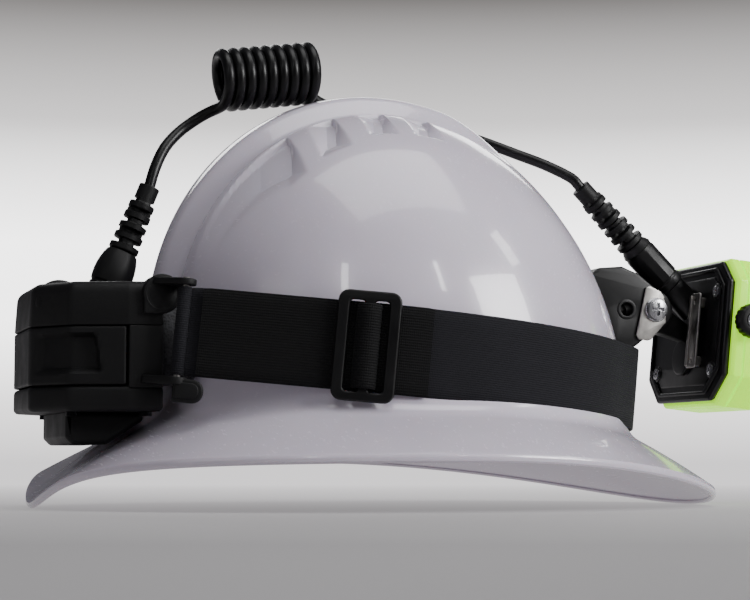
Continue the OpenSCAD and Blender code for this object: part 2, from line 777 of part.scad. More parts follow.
module pack_base() {
    in_hat() color([0.06, 0.06, 0.06]) difference() {
        union() {
            pack_slab(pack_z, bay_z, 0);
            intersection() {
                pack_slab(bay_z - eps, seam_z, 0);
                translate([-door_end + 0.3, -80, 0]) cube([80, 160, 200]);
            }
        }
        translate([0, 0, pack_z - 1]) linear_extrude(bay_z - pack_z - pack_wall + 1)
            pack_outline(-pack_wall, pack_front + pack_wall);
        translate([-door_end - 1, -50, bay_z]) cube([door_end - pack_front - pack_wall + 1, 100, 60]);
        at_pack_screws() translate([0, 0, pack_z]) cylinder(r = 1.6, h = 80);
    }
}

module pack_bottom_cover() {
    in_hat() color([0.06, 0.06, 0.06]) difference() {
        pack_slab(pack_z, pack_z + 2, -pack_wall - seat_gap, pack_front + pack_wall + seat_gap);
        at_pack_screws() translate([0, 0, pack_z - 1]) cylinder(r = 1.6, h = 80);
    }
}

module dock_housing() {
    low = pack_z - 14;
    in_hat() color([0.04, 0.04, 0.04]) difference() {
        along_y(66) polygon([[-pack_front - 38, pack_z - 0.1], [-pack_front - 38, low + 3],
            [-pack_front - 35, low], [-pack_front - 20, low], [-pack_front - 4, pack_z - 3.4],
            [-pack_front - 4, pack_z - 0.1]]);
        translate([-pack_front - 36, -30.8, low + 4]) cube([20, 61.6, 20]);
        for (y = [-12, 12]) translate([-pack_front - 30, y, low - 1]) cylinder(r = 2.4, h = 20);
    }
}

module charge_contacts() {
    in_hat() color("gold") for (y = [-12, 12]) translate([-pack_front - 30, y, pack_z - 14]) {
        cylinder(r = 2.3, h = 6);
        translate([0, 0, 4.05]) cylinder(r = 3.4, h = 1.2);
    }
}

module pack_upper_housing() {
    in_hat() color([0.06, 0.06, 0.06]) difference() {
        union() {
            pack_slab(seam_z + 0.1, pack_top - 3, 0);
            pack_slab(pack_top - 3 - eps, pack_top - 1.2, -1.2);
            pack_slab(pack_top - 1.2 - eps, pack_top, -3);
            intersection() {
                translate([-pack_rear + 13, 0, pack_top - 9]) bar_y(11, 60);
                translate([-200, -40, seam_z + 0.1]) cube([400, 80, 60]);
            }
            for (side = [-1, 1]) translate([-pack_front - 1, side * 53.5, ear_z - 3]) bar_y(8.5, 8);
            translate([middle_x, 0, 0]) in_strap() for (side = [-1, 1]) pin_ear(side, strap_wid / 2 + 0.5, 3);
        }
        pack_slab(seam_z - 1, pack_top - 5, -pack_wall, pack_front + pack_wall);
        translate([rear_boot_x, 0, pack_top - 8]) cylinder(r = 4, h = 20);
        at_pack_screws() translate([0, 0, seam_z - 5]) cylinder(r = 1.6, h = 12);
    }
}

module bay_roof() {
    in_hat() color("dimgray") difference() {
        pack_slab(seam_z + 0.2, seam_z + 1.8, -pack_wall - seat_gap, pack_front + pack_wall + seat_gap);
        at_pack_screws() translate([0, 0, seam_z - 5]) cylinder(r = 1.6, h = 12);
        for (y = [-1, 1]) translate([-pack_front - 12, y * 24, seam_z - 1]) cylinder(r = 1.2, h = 5);
    }
}

module control_board() {
    in_hat() {
        color("darkgreen") translate([-pack_front - 30, -28, seam_z + 5]) cube([20, 56, 1.6]);
        color("black") translate([-pack_front - 25, -8, seam_z + 6.5]) cube([9, 9, 1.5]);
        color("black") translate([-pack_front - 26, 12, seam_z + 6.5]) cube([10, 7, 3]);
        color("silver") for (y = [-1, 1]) translate([-pack_front - 12, y * 24, seam_z + 1.9])
            cylinder(r = 2.2, h = 3.2);
    }
}

module battery_door() {
    depth = 3.4;
    in_hat() color([0.06, 0.06, 0.06]) difference() {
        intersection() {
            pack_slab(bay_z + 0.3, seam_z - 0.3, 0);
            translate([-door_end - 100, -80, 0]) cube([100, 160, 200]);
        }
        translate([-rear_cell_x - cell_r - 0.9, -bay_half - 0.2, 0]) cube([60, 2 * bay_half + 0.4, 200]);
        for (side = [-1, 1]) on_side(side) translate([-pack_rear + 14, 45, bay_z + 12.8]) rotate([0, 0, 20.6])
            translate([-8, 0, 0]) rotate([-90, 0, 0]) translate([0, 0, -depth]) linear_extrude(depth + 20)
            polygon([[-1, -8.6], [22, -8.6], [19, 8.6], [1, 8.6]]);
    }
}

module battery_tray() {
    back = rear_cell_x + cell_r + 0.5;
    front = pack_front + pack_wall + 0.5;
    in_hat() color("dimgray") {
        translate([-back, -bay_half, tray_z]) cube([back - front, 2 * bay_half, tray_thk]);
        for (side = [-1, 1]) translate([-back, side * (bay_half - 0.6) - 0.6, tray_z])
            cube([back - front, 1.2, 14]);
    }
}

module battery_cells() {
    in_hat() for (x = [front_cell_x, rear_cell_x]) translate([-x, 0, cell_z]) {
        color("royalblue") bar_y(cell_r, cell_len - 1.6);
        color("silver") translate([0, 0, 0]) bar_y(2.8, cell_len - 0.1);
    }
}

module battery_contacts() {
    in_hat() color("gold") for (side = [-1, 1])
        translate([-front_cell_x - cell_r, side * (cell_len / 2 + 0.35) - 0.25, cell_z - 4])
            cube([2 * cell_r - 0.5, 0.5, 8]);
}

module pack_screws() {
    in_hat() color("silver") at_pack_screws() translate([0, 0, pack_z - 1.9]) {
        cylinder(r = 2.8, h = 1.85);
        cylinder(r = 1.4, h = 12);
    }
}

module back_pads() {
    in_hat() color([0.12, 0.12, 0.12]) translate([0, 0, pack_z + 12]) linear_extrude(36) for (side = [-1, 1])
        polygon(concat([[-pack_front + 0.2, side * 18], [-pack_front + 0.2, side * 44]],
            [for (y = [44:-5.2:18])
                [crown_x - (crown_a + 1) * sqrt(1 - pow(y / (crown_b + 1), 2)) - 0.6, side * y]]));
}

module at_rear_boot() {
    in_hat() translate([rear_boot_x, 0, pack_top]) rotate([0, rear_boot_lean, 0]) children();
}

module rear_gland() {
    barrel = [[0, -3], [8.2, -3], [8.6, 1], [9.4, 8], [8.6, 14], [7, 19], [0, 19]];
    color([0.05, 0.05, 0.05]) difference() {
        at_rear_boot() rotate_extrude() polygon(barrel);
        in_hat() translate([-200, -50, pack_top - 30]) cube([200, 100, 30.05]);
    }
}

module rear_boot() {
    color([0.05, 0.05, 0.05]) at_rear_boot() translate([0, 0, 19.1]) ribbed_boot(33, 5, 6.9, 7);
}

// ---------- Cord

module cord_rear() { in_hat() color([0.04, 0.04, 0.04]) swept_tube(curve(rear_route, 2), cord_d / 2, 8); }
module cord_front() { in_hat() color([0.04, 0.04, 0.04]) swept_tube(curve(front_route, 2), cord_d / 2, 8); }

module cord_coil() {
    axis = unit(coil_front - coil_rear);
    in_hat() color([0.04, 0.04, 0.04]) translate(coil_rear)
        rotate([0, 90 - asin(axis[2]), atan2(axis[1], axis[0])]) cylinder(r = coil_d / 2, h = coil_len);
}

hat_shell();
headband();
brow_pad();
crown_straps();
suspension_keys();
nape_strap();
adjuster_housing();
adjuster_knob();
strap_band();
strap_layer_near();
strap_layer_far();
slider_near();
slider_loop_near();
slider_far();
slider_loop_far();
strap_pins();
side_arms();
lamp_bracket();
bracket_plates();
pivot_screw();
pivot_nut();
lamp_rear_cover();
lamp_gasket();
lamp_shell();
lens_bezel();
lens();
reflector();
led_module();
heat_sink();
driver_board();
cover_screws();
cover_clip();
side_knob();
knob_cap();
switch_module();
front_gland();
front_boot();
pack_base();
pack_bottom_cover();
dock_housing();
charge_contacts();
pack_upper_housing();
bay_roof();
control_board();
battery_door();
battery_tray();
battery_cells();
battery_contacts();
pack_screws();
back_pads();
rear_gland();
rear_boot();
cord_rear();
cord_coil();
cord_front();
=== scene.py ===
import math
import bpy
import bmesh
import numpy as np
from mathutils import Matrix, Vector, geometry


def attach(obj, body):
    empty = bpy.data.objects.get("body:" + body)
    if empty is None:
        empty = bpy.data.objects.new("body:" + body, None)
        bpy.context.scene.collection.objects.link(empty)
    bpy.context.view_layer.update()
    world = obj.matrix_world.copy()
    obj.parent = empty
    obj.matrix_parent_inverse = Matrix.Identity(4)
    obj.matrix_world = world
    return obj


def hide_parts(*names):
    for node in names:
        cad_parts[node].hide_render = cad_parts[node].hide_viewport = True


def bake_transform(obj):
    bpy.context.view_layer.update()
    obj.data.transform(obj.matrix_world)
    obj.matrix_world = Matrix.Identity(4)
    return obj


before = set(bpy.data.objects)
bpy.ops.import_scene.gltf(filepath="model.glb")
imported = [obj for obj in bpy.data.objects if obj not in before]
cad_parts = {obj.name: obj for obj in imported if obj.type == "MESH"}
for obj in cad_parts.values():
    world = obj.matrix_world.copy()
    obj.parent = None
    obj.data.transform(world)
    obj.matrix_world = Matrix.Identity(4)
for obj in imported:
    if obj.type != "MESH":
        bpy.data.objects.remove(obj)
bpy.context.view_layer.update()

# Shapes below are given in millimetres in the same frames as the solid model:
# the hat's own frame, the strap's sloping plane, and the lamp about its pivot.
hat = {"middleX": 19.8737, "length": 324, "width": 284, "crownA": 110.4, "crownB": 98.4, "crownHeight": 126,
       "crownX": 8, "crownZ": 60, "lean": 13, "wall": 2.6, "brimRise": 20, "lipHeight": 4, "joinZ": 43,
       "frontDip": 11, "ridgeHeight": 6.5, "ridgeHalf": 19, "ridgeRearHalf": 9}


def shiftBy(x=0, y=0, z=0):
    matrix = np.eye(4)
    matrix[:3, 3] = (x, y, z)
    return matrix


def turnY(degrees):
    c, s = math.cos(math.radians(degrees)), math.sin(math.radians(degrees))
    matrix = np.eye(4)
    matrix[0, 0], matrix[0, 2], matrix[2, 0], matrix[2, 2] = c, s, -s, c
    return matrix


def turnZ(degrees):
    c, s = math.cos(math.radians(degrees)), math.sin(math.radians(degrees))
    matrix = np.eye(4)
    matrix[0, 0], matrix[0, 1], matrix[1, 0], matrix[1, 1] = c, -s, s, c
    return matrix


def placed(matrix, points):
    points = np.asarray(points, dtype=float)
    return points @ matrix[:3, :3].T + matrix[:3, 3]


def smooth(a, b, value):
    t = np.clip((np.asarray(value, dtype=float) - a) / (b - a), 0, 1)
    return t * t * (3 - 2 * t)


# Strap facts, used for the frames of the pieces that sit on it
strap = {"z": 65.5, "tilt": 5.5, "width": 38, "thickness": 1.4, "gap": 0.6, "baseThick": 3, "layerGap": 0.4,
         "straight": 79, "tangentAngle": 112, "layerStart": 71, "layerEnd": 97}
lamp = {"pivotX": 139.5, "pivotZ": 94.5, "aim": 6, "coverX": 25, "coverThick": 3, "middle": -8, "width": 80,
        "height": 68, "corner": 12, "shellX": 28.8, "depth": 34, "lens": 26, "bootSeat": 6.4,
        "bootTurn": -51.5, "knobX": 36, "knobZ": -3}
pack = {"rear": 166, "front": 113, "baseZ": 42, "bayZ": 53, "seamZ": 78.7, "topZ": 98, "bootBack": 15,
        "bootLean": 22}

hatFrame = shiftBy(-hat["middleX"])
strapFrame = hatFrame @ shiftBy(z=strap["z"]) @ turnY(strap["tilt"])
lampFrame = hatFrame @ shiftBy(lamp["pivotX"], 0, lamp["pivotZ"]) @ turnY(lamp["aim"])
bootFrame = lampFrame @ shiftBy(lamp["coverX"] - 1.2, 0, lamp["bootSeat"]) @ turnY(lamp["bootTurn"])
rearBootFrame = hatFrame @ shiftBy(-pack["front"] - pack["bootBack"], 0,
                                   pack["topZ"]) @ turnY(pack["bootLean"])

tangentA = hat["crownA"] + strap["gap"]
tangentB = hat["crownB"] + strap["gap"]
tangentRad = math.radians(strap["tangentAngle"])
tangentPoint = np.array([hat["crownX"] + tangentA * math.cos(tangentRad), tangentB * math.sin(tangentRad)])
tangentWay = np.array([tangentA * math.sin(tangentRad), -tangentB * math.cos(tangentRad)])
tangentWay = tangentWay / np.linalg.norm(tangentWay)


def tangentFrame(side):
    # side 1 is the wearer's left, -1 the right, mirrored in the middle plane
    mirror = np.eye(4)
    mirror[1, 1] = side
    turn = math.degrees(math.atan2(tangentWay[1], tangentWay[0]))
    return strapFrame @ mirror @ shiftBy(tangentPoint[0], tangentPoint[1]) @ turnZ(turn)


def newPiece(name, points, faces, body, material, replaced=(), sharp=40, uv=None):
    # points are in millimetres in the row's frame; faces are lists of indices
    mesh = bpy.data.meshes.new(name)
    mesh.from_pydata((np.asarray(points) / 1000).tolist(), [], faces)
    mesh.update()
    if uv is not None:
        loops = np.empty(len(mesh.loops), dtype=np.int32)
        mesh.loops.foreach_get("vertex_index", loops)
        layer = mesh.uv_layers.new(name="weave")
        layer.data.foreach_set("uv", (np.asarray(uv, dtype=np.float32)[loops] / 1000).ravel())
    work = bmesh.new()
    work.from_mesh(mesh)
    bmesh.ops.recalc_face_normals(work, faces=work.faces)
    work.to_mesh(mesh)
    work.free()
    mesh.shade_smooth()
    mesh.set_sharp_from_angle(angle=math.radians(sharp))
    piece = bpy.data.objects.new(name, mesh)
    bpy.context.scene.collection.objects.link(piece)
    mesh.materials.append(material)
    if body:
        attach(piece, body)
    if replaced:
        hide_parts(*replaced)
    return piece


def ringFaces(rows, columns, start=0, wrapRows=False):
    # faces of rows of points, each row closed on itself
    row = np.arange(rows if wrapRows else rows - 1)[:, None]
    column = np.arange(columns)[None, :]
    nextRow, nextColumn = (row + 1) % rows, (column + 1) % columns
    quads = np.stack([row * columns + column, row * columns + nextColumn,
                      nextRow * columns + nextColumn, nextRow * columns + column], axis=-1)
    return (quads.reshape(-1, 4) + start).tolist()


def closedRings(rings):
    # rings is rows by columns by 3; both ends are closed with a fan about the ring's middle
    rings = np.asarray(rings, dtype=float)
    rows, columns = rings.shape[:2]
    faces = ringFaces(rows, columns)
    points = np.vstack([rings.reshape(-1, 3), rings[0].mean(axis=0), rings[-1].mean(axis=0)])
    first, last = rows * columns, rows * columns + 1
    for k in range(columns):
        faces.append([first, (k + 1) % columns, k])
        faces.append([last, (rows - 1) * columns + k, (rows - 1) * columns + (k + 1) % columns])
    return points, faces


def joined(parts):
    # several (points, faces) pairs as one
    allPoints, allFaces, count = [], [], 0
    for points, faces in parts:
        allPoints.append(np.asarray(points, dtype=float))
        allFaces.extend([[i + count for i in face] for face in faces])
        count += len(points)
    return np.vstack(allPoints), allFaces


def roundedOutline(points, radius, steps=5):
    # each corner becomes an arc; radius is one number or one for each corner
    points = [np.asarray(p, dtype=float) for p in points]
    out = []
    for k, corner in enumerate(points):
        r = radius[k] if isinstance(radius, (list, tuple)) else radius
        before, after = points[k - 1] - corner, points[(k + 1) % len(points)] - corner
        a, b = before / np.linalg.norm(before), after / np.linalg.norm(after)
        half = math.acos(max(-1, min(1, float(a @ b)))) / 2
        if r < 0.01 or half > 1.55:
            out.append(corner)
            continue
        reach = min(r / math.tan(half), 0.48 * min(np.linalg.norm(before), np.linalg.norm(after)))
        r = reach * math.tan(half)
        middle = corner + (a + b) / np.linalg.norm(a + b) * r / math.sin(half)
        start, end = corner + a * reach - middle, corner + b * reach - middle
        angle0 = math.atan2(start[1], start[0])
        turn = (math.atan2(end[1], end[0]) - angle0 + math.pi) % (2 * math.pi) - math.pi
        for i in range(steps + 1):
            t = angle0 + turn * i / steps
            out.append(middle + r * np.array([math.cos(t), math.sin(t)]))
    return np.array(out)


def insetOutline(outline, distance):
    # moves each point inwards along the mean normal of its two edges
    outline = np.asarray(outline, dtype=float)
    x, y = outline[:, 0], outline[:, 1]
    area = np.sum(x * np.roll(y, -1) - np.roll(x, -1) * y)
    edge = np.roll(outline, -1, axis=0) - outline
    edge = edge / np.maximum(np.linalg.norm(edge, axis=1, keepdims=True), 1e-9)
    normal = np.stack([-edge[:, 1], edge[:, 0]], axis=1) * (1 if area > 0 else -1)
    both = normal + np.roll(normal, 1, axis=0)
    length = np.maximum(np.linalg.norm(both, axis=1, keepdims=True), 0.4)
    return outline + distance * both / length * (2 / length)


def circleOutline(radius, count=32, middle=(0, 0)):
    t = np.arange(count) * 2 * math.pi / count
    return np.stack([middle[0] + radius * np.cos(t), middle[1] + radius * np.sin(t)], axis=1)


def roundedPlate(outline, low, high, edge=0.6, holes=(), steps=3):
    # a flat plate with rounded edges and holes, in its own u, v and thickness
    outline = np.asarray(outline, dtype=float)
    levels = [(edge * (1 - math.sin(t)), low + edge * (1 - math.cos(t))) for t in np.linspace(0, math.pi / 2,
        steps + 1)]
    levels = levels + [(inset, low + high - w) for inset, w in reversed(levels)]
    points, faces, count, caps = [], [], 0, [[], []]
    for loop, sign in [(outline, 1)] + [(np.asarray(hole, dtype=float), -1) for hole in holes]:
        rings = []
        for inset, w in levels:
            moved = insetOutline(loop, sign * inset)
            rings.append(np.column_stack([moved, np.full(len(moved), w)]))
        points.append(np.vstack(rings))
        faces.extend(ringFaces(len(levels), len(loop), count))
        caps[0].append((rings[0], count))
        caps[1].append((rings[-1], count + (len(levels) - 1) * len(loop)))
        count += len(levels) * len(loop)
    for cap in caps:
        loops = [[Vector((p[0], p[1], 0)) for p in ring] for ring, start in cap]
        lookup = [start + i for ring, start in cap for i in range(len(ring))]
        for tri in geometry.tessellate_polygon(loops):
            faces.append([lookup[i] for i in tri])
    return np.vstack(points), faces


def turned(profile, count=48, reach=None):
    # a closed turned piece about its own z from (radius, height) points;
    # reach may change the radius with angle
    profile = np.asarray(profile, dtype=float)
    angle = np.arange(count) * 2 * math.pi / count
    radius = profile[:, 0][:, None] * np.ones(count)
    height = profile[:, 1][:, None] * np.ones(count)
    if reach is not None:
        radius = reach(radius, height, angle[None, :])
    rings = np.stack([radius * np.cos(angle), radius * np.sin(angle), height], axis=-1)
    return closedRings(rings)


def bar(section, path, normals):
    # a closed bar: the section's two numbers go along each point's normal and along z
    path, normals, section = np.asarray(path, float), np.asarray(normals, float), np.asarray(section, float)
    rings = np.zeros((len(path), len(section), 3))
    rings[:, :, 0] = path[:, None, 0] + normals[:, None, 0] * section[None, :, 0]
    rings[:, :, 1] = path[:, None, 1] + normals[:, None, 1] * section[None, :, 0]
    rings[:, :, 2] = section[None, :, 1]
    return rings


def outlineFrom(matrix):
    # maps a plate's (u, v, thickness) onto (y, z, x) of the matrix's frame
    swap = np.eye(4)
    swap[:3, :3] = [[0, 0, 1], [1, 0, 0], [0, 1, 0]]
    return matrix @ swap


def sideFrom(matrix):
    # maps a plate's (u, v, thickness) onto (x, z, y) of the matrix's frame
    swap = np.eye(4)
    swap[:3, :3] = [[1, 0, 0], [0, 0, 1], [0, 1, 0]]
    return matrix @ swap


# Materials, each named for what it is made of and how


def linear(hexText):
    parts = [int(hexText[i:i + 2], 16) / 255 for i in (0, 2, 4)]
    return tuple(c / 12.92 if c <= 0.04045 else ((c + 0.055) / 1.055) ** 2.4 for c in parts) + (1.0,)


def addNode(tree, kind, settings=None, **sockets):
    # adds one node; a socket's value is a number, a colour or another node's output
    node = tree.nodes.new(kind)
    for key, value in (settings or {}).items():
        setattr(node, key, value)
    for key, value in sockets.items():
        numbered = key[0] == "i" and key[1:].isdigit()
        socket = node.inputs[int(key[1:]) if numbered else key.replace("_", " ")]
        if isinstance(value, bpy.types.NodeSocket):
            tree.links.new(value, socket)
        else:
            socket.default_value = value
    return node


def startMaterial(name, uv=False):
    material = bpy.data.materials.new(name)
    material.use_nodes = True
    tree = material.node_tree
    surface = tree.nodes["Principled BSDF"]
    place = tree.nodes.new("ShaderNodeTexCoord").outputs["UV" if uv else "Object"]
    return material, tree, surface, place


def noise(tree, place, sizeMm, detail=3.0, rough=0.5):
    return addNode(tree, "ShaderNodeTexNoise", Vector=place, Scale=1000.0 / sizeMm, Detail=detail,
                   Roughness=rough).outputs["Fac"]


def twoColours(tree, factor, low, high, a=0.35, b=0.65):
    ramp = addNode(tree, "ShaderNodeValToRGB", Fac=factor)
    ramp.color_ramp.elements[0].position, ramp.color_ramp.elements[0].color = a, linear(low)
    ramp.color_ramp.elements[1].position, ramp.color_ramp.elements[1].color = b, linear(high)
    return ramp.outputs["Color"]


def between(tree, value, low, high, a=0.3, b=0.7):
    return addNode(tree, "ShaderNodeMapRange", Value=value, From_Min=a, From_Max=b, To_Min=low,
                   To_Max=high).outputs["Result"]


def bump(tree, height, depthMm, normal=None, strength=1.0):
    node = addNode(tree, "ShaderNodeBump", Height=height, Distance=depthMm / 1000, Strength=strength)
    if normal is not None:
        tree.links.new(normal, node.inputs["Normal"])
    return node.outputs["Normal"]


def link(tree, output, surface, name):
    tree.links.new(output, surface.inputs[name])


def mouldedPlastic(name, low, high, rough, grainMm, grainDepth, coat=0.0, mottleMm=22):
    # injection moulded plastic: a slight mottle, a spark-eroded grain and handling smudges in the gloss
    material, tree, surface, place = startMaterial(name)
    link(tree, twoColours(tree, noise(tree, place, mottleMm, 4), low, high), surface, "Base Color")
    link(tree, between(tree, noise(tree, place, 14, 5, 0.6), rough[0], rough[1]), surface, "Roughness")
    fine = bump(tree, noise(tree, place, grainMm, 2), grainDepth)
    link(tree, bump(tree, noise(tree, place, 30, 2), 0.06, fine), surface, "Normal")
    surface.inputs["Coat Weight"].default_value = coat
    surface.inputs["Specular IOR Level"].default_value = 0.3
    surface.inputs["Coat Roughness"].default_value = 0.12
    return material


def wovenElastic(name, low, high, ribMm, depth):
    # knitted elastic webbing: ribs along its length crossed by fine wefts, with loose fuzz at random; the
    # colour follows the weave's height, so the grooves are painted darker as shade
    material, tree, surface, place = startMaterial(name, uv=True)
    apart = addNode(tree, "ShaderNodeSeparateXYZ", Vector=place)
    along, across = apart.outputs["X"], apart.outputs["Y"]

    def wave(value, stepMm):
        scaled = addNode(tree, "ShaderNodeMath", {"operation": "MULTIPLY"}, i0=value, i1=2 * math.pi * 1000
                         / stepMm)
        return addNode(tree, "ShaderNodeMath", {"operation": "SINE"}, i0=scaled.outputs[0]).outputs[0]

    ribs, wefts = wave(across, ribMm), wave(along, ribMm * 0.75)
    woven = addNode(tree, "ShaderNodeMath", {"operation": "MULTIPLY_ADD"}, i0=wefts, i1=0.45,
                    i2=ribs).outputs[0]
    fuzz = noise(tree, place, 0.35, 2)
    rough = addNode(tree, "ShaderNodeMath", {"operation": "MULTIPLY_ADD"}, i0=fuzz, i1=0.9,
                    i2=woven).outputs[0]
    # painted shade: the colour is taken from the weave's height, darker in the grooves between threads and
    # lighter on the raised threads and fuzz
    shade = between(tree, rough, 0.0, 1.0, -1.2, 1.9)
    patch = noise(tree, place, 26, 3)
    mixed = addNode(tree, "ShaderNodeMath", {"operation": "MULTIPLY_ADD"}, i0=patch, i1=0.5,
                    i2=shade).outputs[0]
    link(tree, twoColours(tree, mixed, low, high, 0.25, 1.25), surface, "Base Color")
    link(tree, bump(tree, rough, depth), surface, "Normal")
    surface.inputs["Roughness"].default_value = 0.78
    surface.inputs["Specular IOR Level"].default_value = 0.18
    surface.inputs["Sheen Weight"].default_value = 0.02
    surface.inputs["Sheen Roughness"].default_value = 0.5
    return material


def platedSteel(name, low, high, rough, brushMm):
    # zinc plated or stainless pressings: fine brushing along z and cloudy plating
    material, tree, surface, place = startMaterial(name)
    stretched = addNode(tree, "ShaderNodeMapping", Vector=place, Scale=(1.0, 1.0, 0.08)).outputs["Vector"]
    lines = noise(tree, stretched, brushMm, 3)
    link(tree, twoColours(tree, noise(tree, place, 7, 4), low, high), surface, "Base Color")
    link(tree, between(tree, lines, rough[0], rough[1]), surface, "Roughness")
    link(tree, bump(tree, lines, 0.01), surface, "Normal")
    surface.inputs["Metallic"].default_value = 1.0
    return material


def hatShellMaterial():
    # high gloss moulded ABS: faint orange peel, fine scratches in the gloss and a slight tint drift
    material, tree, surface, place = startMaterial("glossyMouldedAbs")
    link(tree, twoColours(tree, noise(tree, place, 60, 3), "C9C1CF", "D0C9D6"), surface, "Base Color")
    stretched = addNode(tree, "ShaderNodeMapping", Vector=place, Rotation=(0.4, 0.9, 0.3),
                        Scale=(1.0, 0.06, 1.0)).outputs["Vector"]
    scratches = noise(tree, stretched, 1.6, 6, 0.7)
    haze = between(tree, noise(tree, place, 35, 5, 0.6), 0.16, 0.27)
    worn = addNode(tree, "ShaderNodeMath", {"operation": "MULTIPLY_ADD"}, i0=between(tree, scratches, 0.0,
        0.2, 0.58, 0.7), i1=1.0, i2=haze)
    link(tree, worn.outputs[0], surface, "Roughness")
    peel = bump(tree, noise(tree, place, 5, 1), 0.012)
    link(tree, bump(tree, scratches, 0.002, peel), surface, "Normal")
    surface.inputs["Subsurface Weight"].default_value = 0.06
    surface.inputs["Subsurface Scale"].default_value = 0.004
    surface.inputs["Coat Weight"].default_value = 0.6
    surface.inputs["Coat Roughness"].default_value = 0.035
    return material


def limeMaterial():
    # fluorescent lime polycarbonate: a little light is carried inside it, so edges look brighter; an emission
    # also paints a glow over the whole shell, though it is no lamp
    material, tree, surface, place = startMaterial("limePolycarbonatePaintedGlow")
    link(tree, twoColours(tree, noise(tree, place, 18, 3), "9CE01C", "AEEA2C"), surface, "Base Color")
    link(tree, between(tree, noise(tree, place, 11, 5, 0.6), 0.22, 0.38), surface, "Roughness")
    link(tree, bump(tree, noise(tree, place, 1.1, 2), 0.008), surface, "Normal")
    surface.inputs["Subsurface Weight"].default_value = 0.25
    surface.inputs["Subsurface Scale"].default_value = 0.006
    # painted glow: the shell gives off light of its own, which makes it brighter than the lamps light it
    surface.inputs["Emission Color"].default_value = linear("A4EC1C")
    surface.inputs["Emission Strength"].default_value = 1.1
    return material


def lensMaterial():
    # clear polycarbonate with light handling haze
    material, tree, surface, place = startMaterial("clearPolycarbonate")
    surface.inputs["Base Color"].default_value = (0.95, 0.97, 1.0, 1.0)
    link(tree, between(tree, noise(tree, place, 9, 5, 0.6), 0.02, 0.09), surface, "Roughness")
    link(tree, bump(tree, noise(tree, place, 14, 2), 0.01), surface, "Normal")
    surface.inputs["Transmission Weight"].default_value = 1.0
    surface.inputs["IOR"].default_value = 1.58
    return material


def boardMaterial():
    # glass fibre board under green solder mask, with copper tracks showing through
    material, tree, surface, place = startMaterial("solderMaskBoard")
    cells = addNode(tree, "ShaderNodeTexBrick", Vector=place, Scale=160.0, Mortar_Size=0.06,
                    Color1=linear("0F5A2C"), Color2=linear("0C4D26"), Mortar=linear("2E8A4B"))
    link(tree, cells.outputs["Color"], surface, "Base Color")
    link(tree, between(tree, noise(tree, place, 3, 3), 0.25, 0.45), surface, "Roughness")
    link(tree, bump(tree, cells.outputs["Fac"], 0.03), surface, "Normal")
    return material


def mirrorMaterial():
    # vacuum metallised reflector with a faint ripple from moulding
    material, tree, surface, place = startMaterial("vacuumMetallised")
    surface.inputs["Base Color"].default_value = linear("E4E6EA")
    surface.inputs["Metallic"].default_value = 1.0
    link(tree, between(tree, noise(tree, place, 6, 3), 0.05, 0.13), surface, "Roughness")
    link(tree, bump(tree, noise(tree, place, 4, 1), 0.02), surface, "Normal")
    return material


def padMaterial():
    # knitted nylon over foam: a fine diamond knit with sheen; the colour follows the knit's height, so its
    # hollows are painted darker as shade
    material, tree, surface, place = startMaterial("knittedPadCloth")
    cells = addNode(tree, "ShaderNodeTexVoronoi", Vector=place, Scale=900.0)
    # painted shade: the colour is darker in the hollows of the knit and lighter on its raised edges
    link(tree, twoColours(tree, cells.outputs["Distance"], "101012", "2A2A2E", 0.1, 0.8), surface,
         "Base Color")
    link(tree, bump(tree, cells.outputs["Distance"], 0.25), surface, "Normal")
    surface.inputs["Roughness"].default_value = 0.85
    surface.inputs["Sheen Weight"].default_value = 0.3
    return material


materials = {
    "hat": hatShellMaterial(),
    "lime": limeMaterial(),
    "lens": lensMaterial(),
    "board": boardMaterial(),
    "mirror": mirrorMaterial(),
    "pad": padMaterial(),
    "elastic": wovenElastic("blackKnittedElastic", "030304", "0A0A0B", 1.15, 0.08),
    "slate": wovenElastic("slateKnittedElastic", "0D0D10", "1B1B20", 0.95, 0.06),
    "web": wovenElastic("greyWovenWebbing", "3A3A3E", "5A5A60", 1.6, 0.25),
    "housing": mouldedPlastic("sparkErodedNylon", "030304", "070708", (0.5, 0.66), 0.7, 0.05),
    "satin": mouldedPlastic("satinBlackNylon", "030304", "070708", (0.34, 0.5), 0.5, 0.016),
    "smooth": mouldedPlastic("mouldedBlackPolycarbonate", "020203", "050506", (0.26, 0.42), 0.9, 0.008),
    "grey": mouldedPlastic("greyMouldedPolyethylene", "3C3C40", "47474C", (0.42, 0.56), 0.8, 0.02),
    "rubber": mouldedPlastic("mouldedRubber", "040405", "080809", (0.44, 0.62), 0.4, 0.02),
    "sheath": mouldedPlastic("polyurethaneSheath", "020203", "050506", (0.3, 0.44), 2.2, 0.012, 0.04),
    "wrap": mouldedPlastic("heatShrinkWrap", "1B3F94", "2349A4", (0.24, 0.36), 3, 0.01),
    "steel": platedSteel("brushedStainless", "8E8B88", "A9A6A2", (0.28, 0.48), 1.2),
    "screw": platedSteel("platedScrewSteel", "8C8C90", "B4B4B6", (0.2, 0.4), 2.0),
    "blackScrew": platedSteel("blackOxideSteel", "141416", "1E1E20", (0.3, 0.5), 2.0),
    "aluminium": platedSteel("diecastAluminium", "A8A9AC", "BFC0C2", (0.4, 0.6), 3.0),
    "brass": platedSteel("goldPlatedBrass", "B08A3A", "C9A24C", (0.22, 0.4), 2.0),
}
print("materials made")

# Camera, floor and light
view = {"azimuth": -18.0, "distance": 930.0, "height": 20.0, "focal": 2.6293333333333333,
        "horizonBelow": 0.21733333333333332, "horizonShade": "918F90", "backdrop": 4.2}


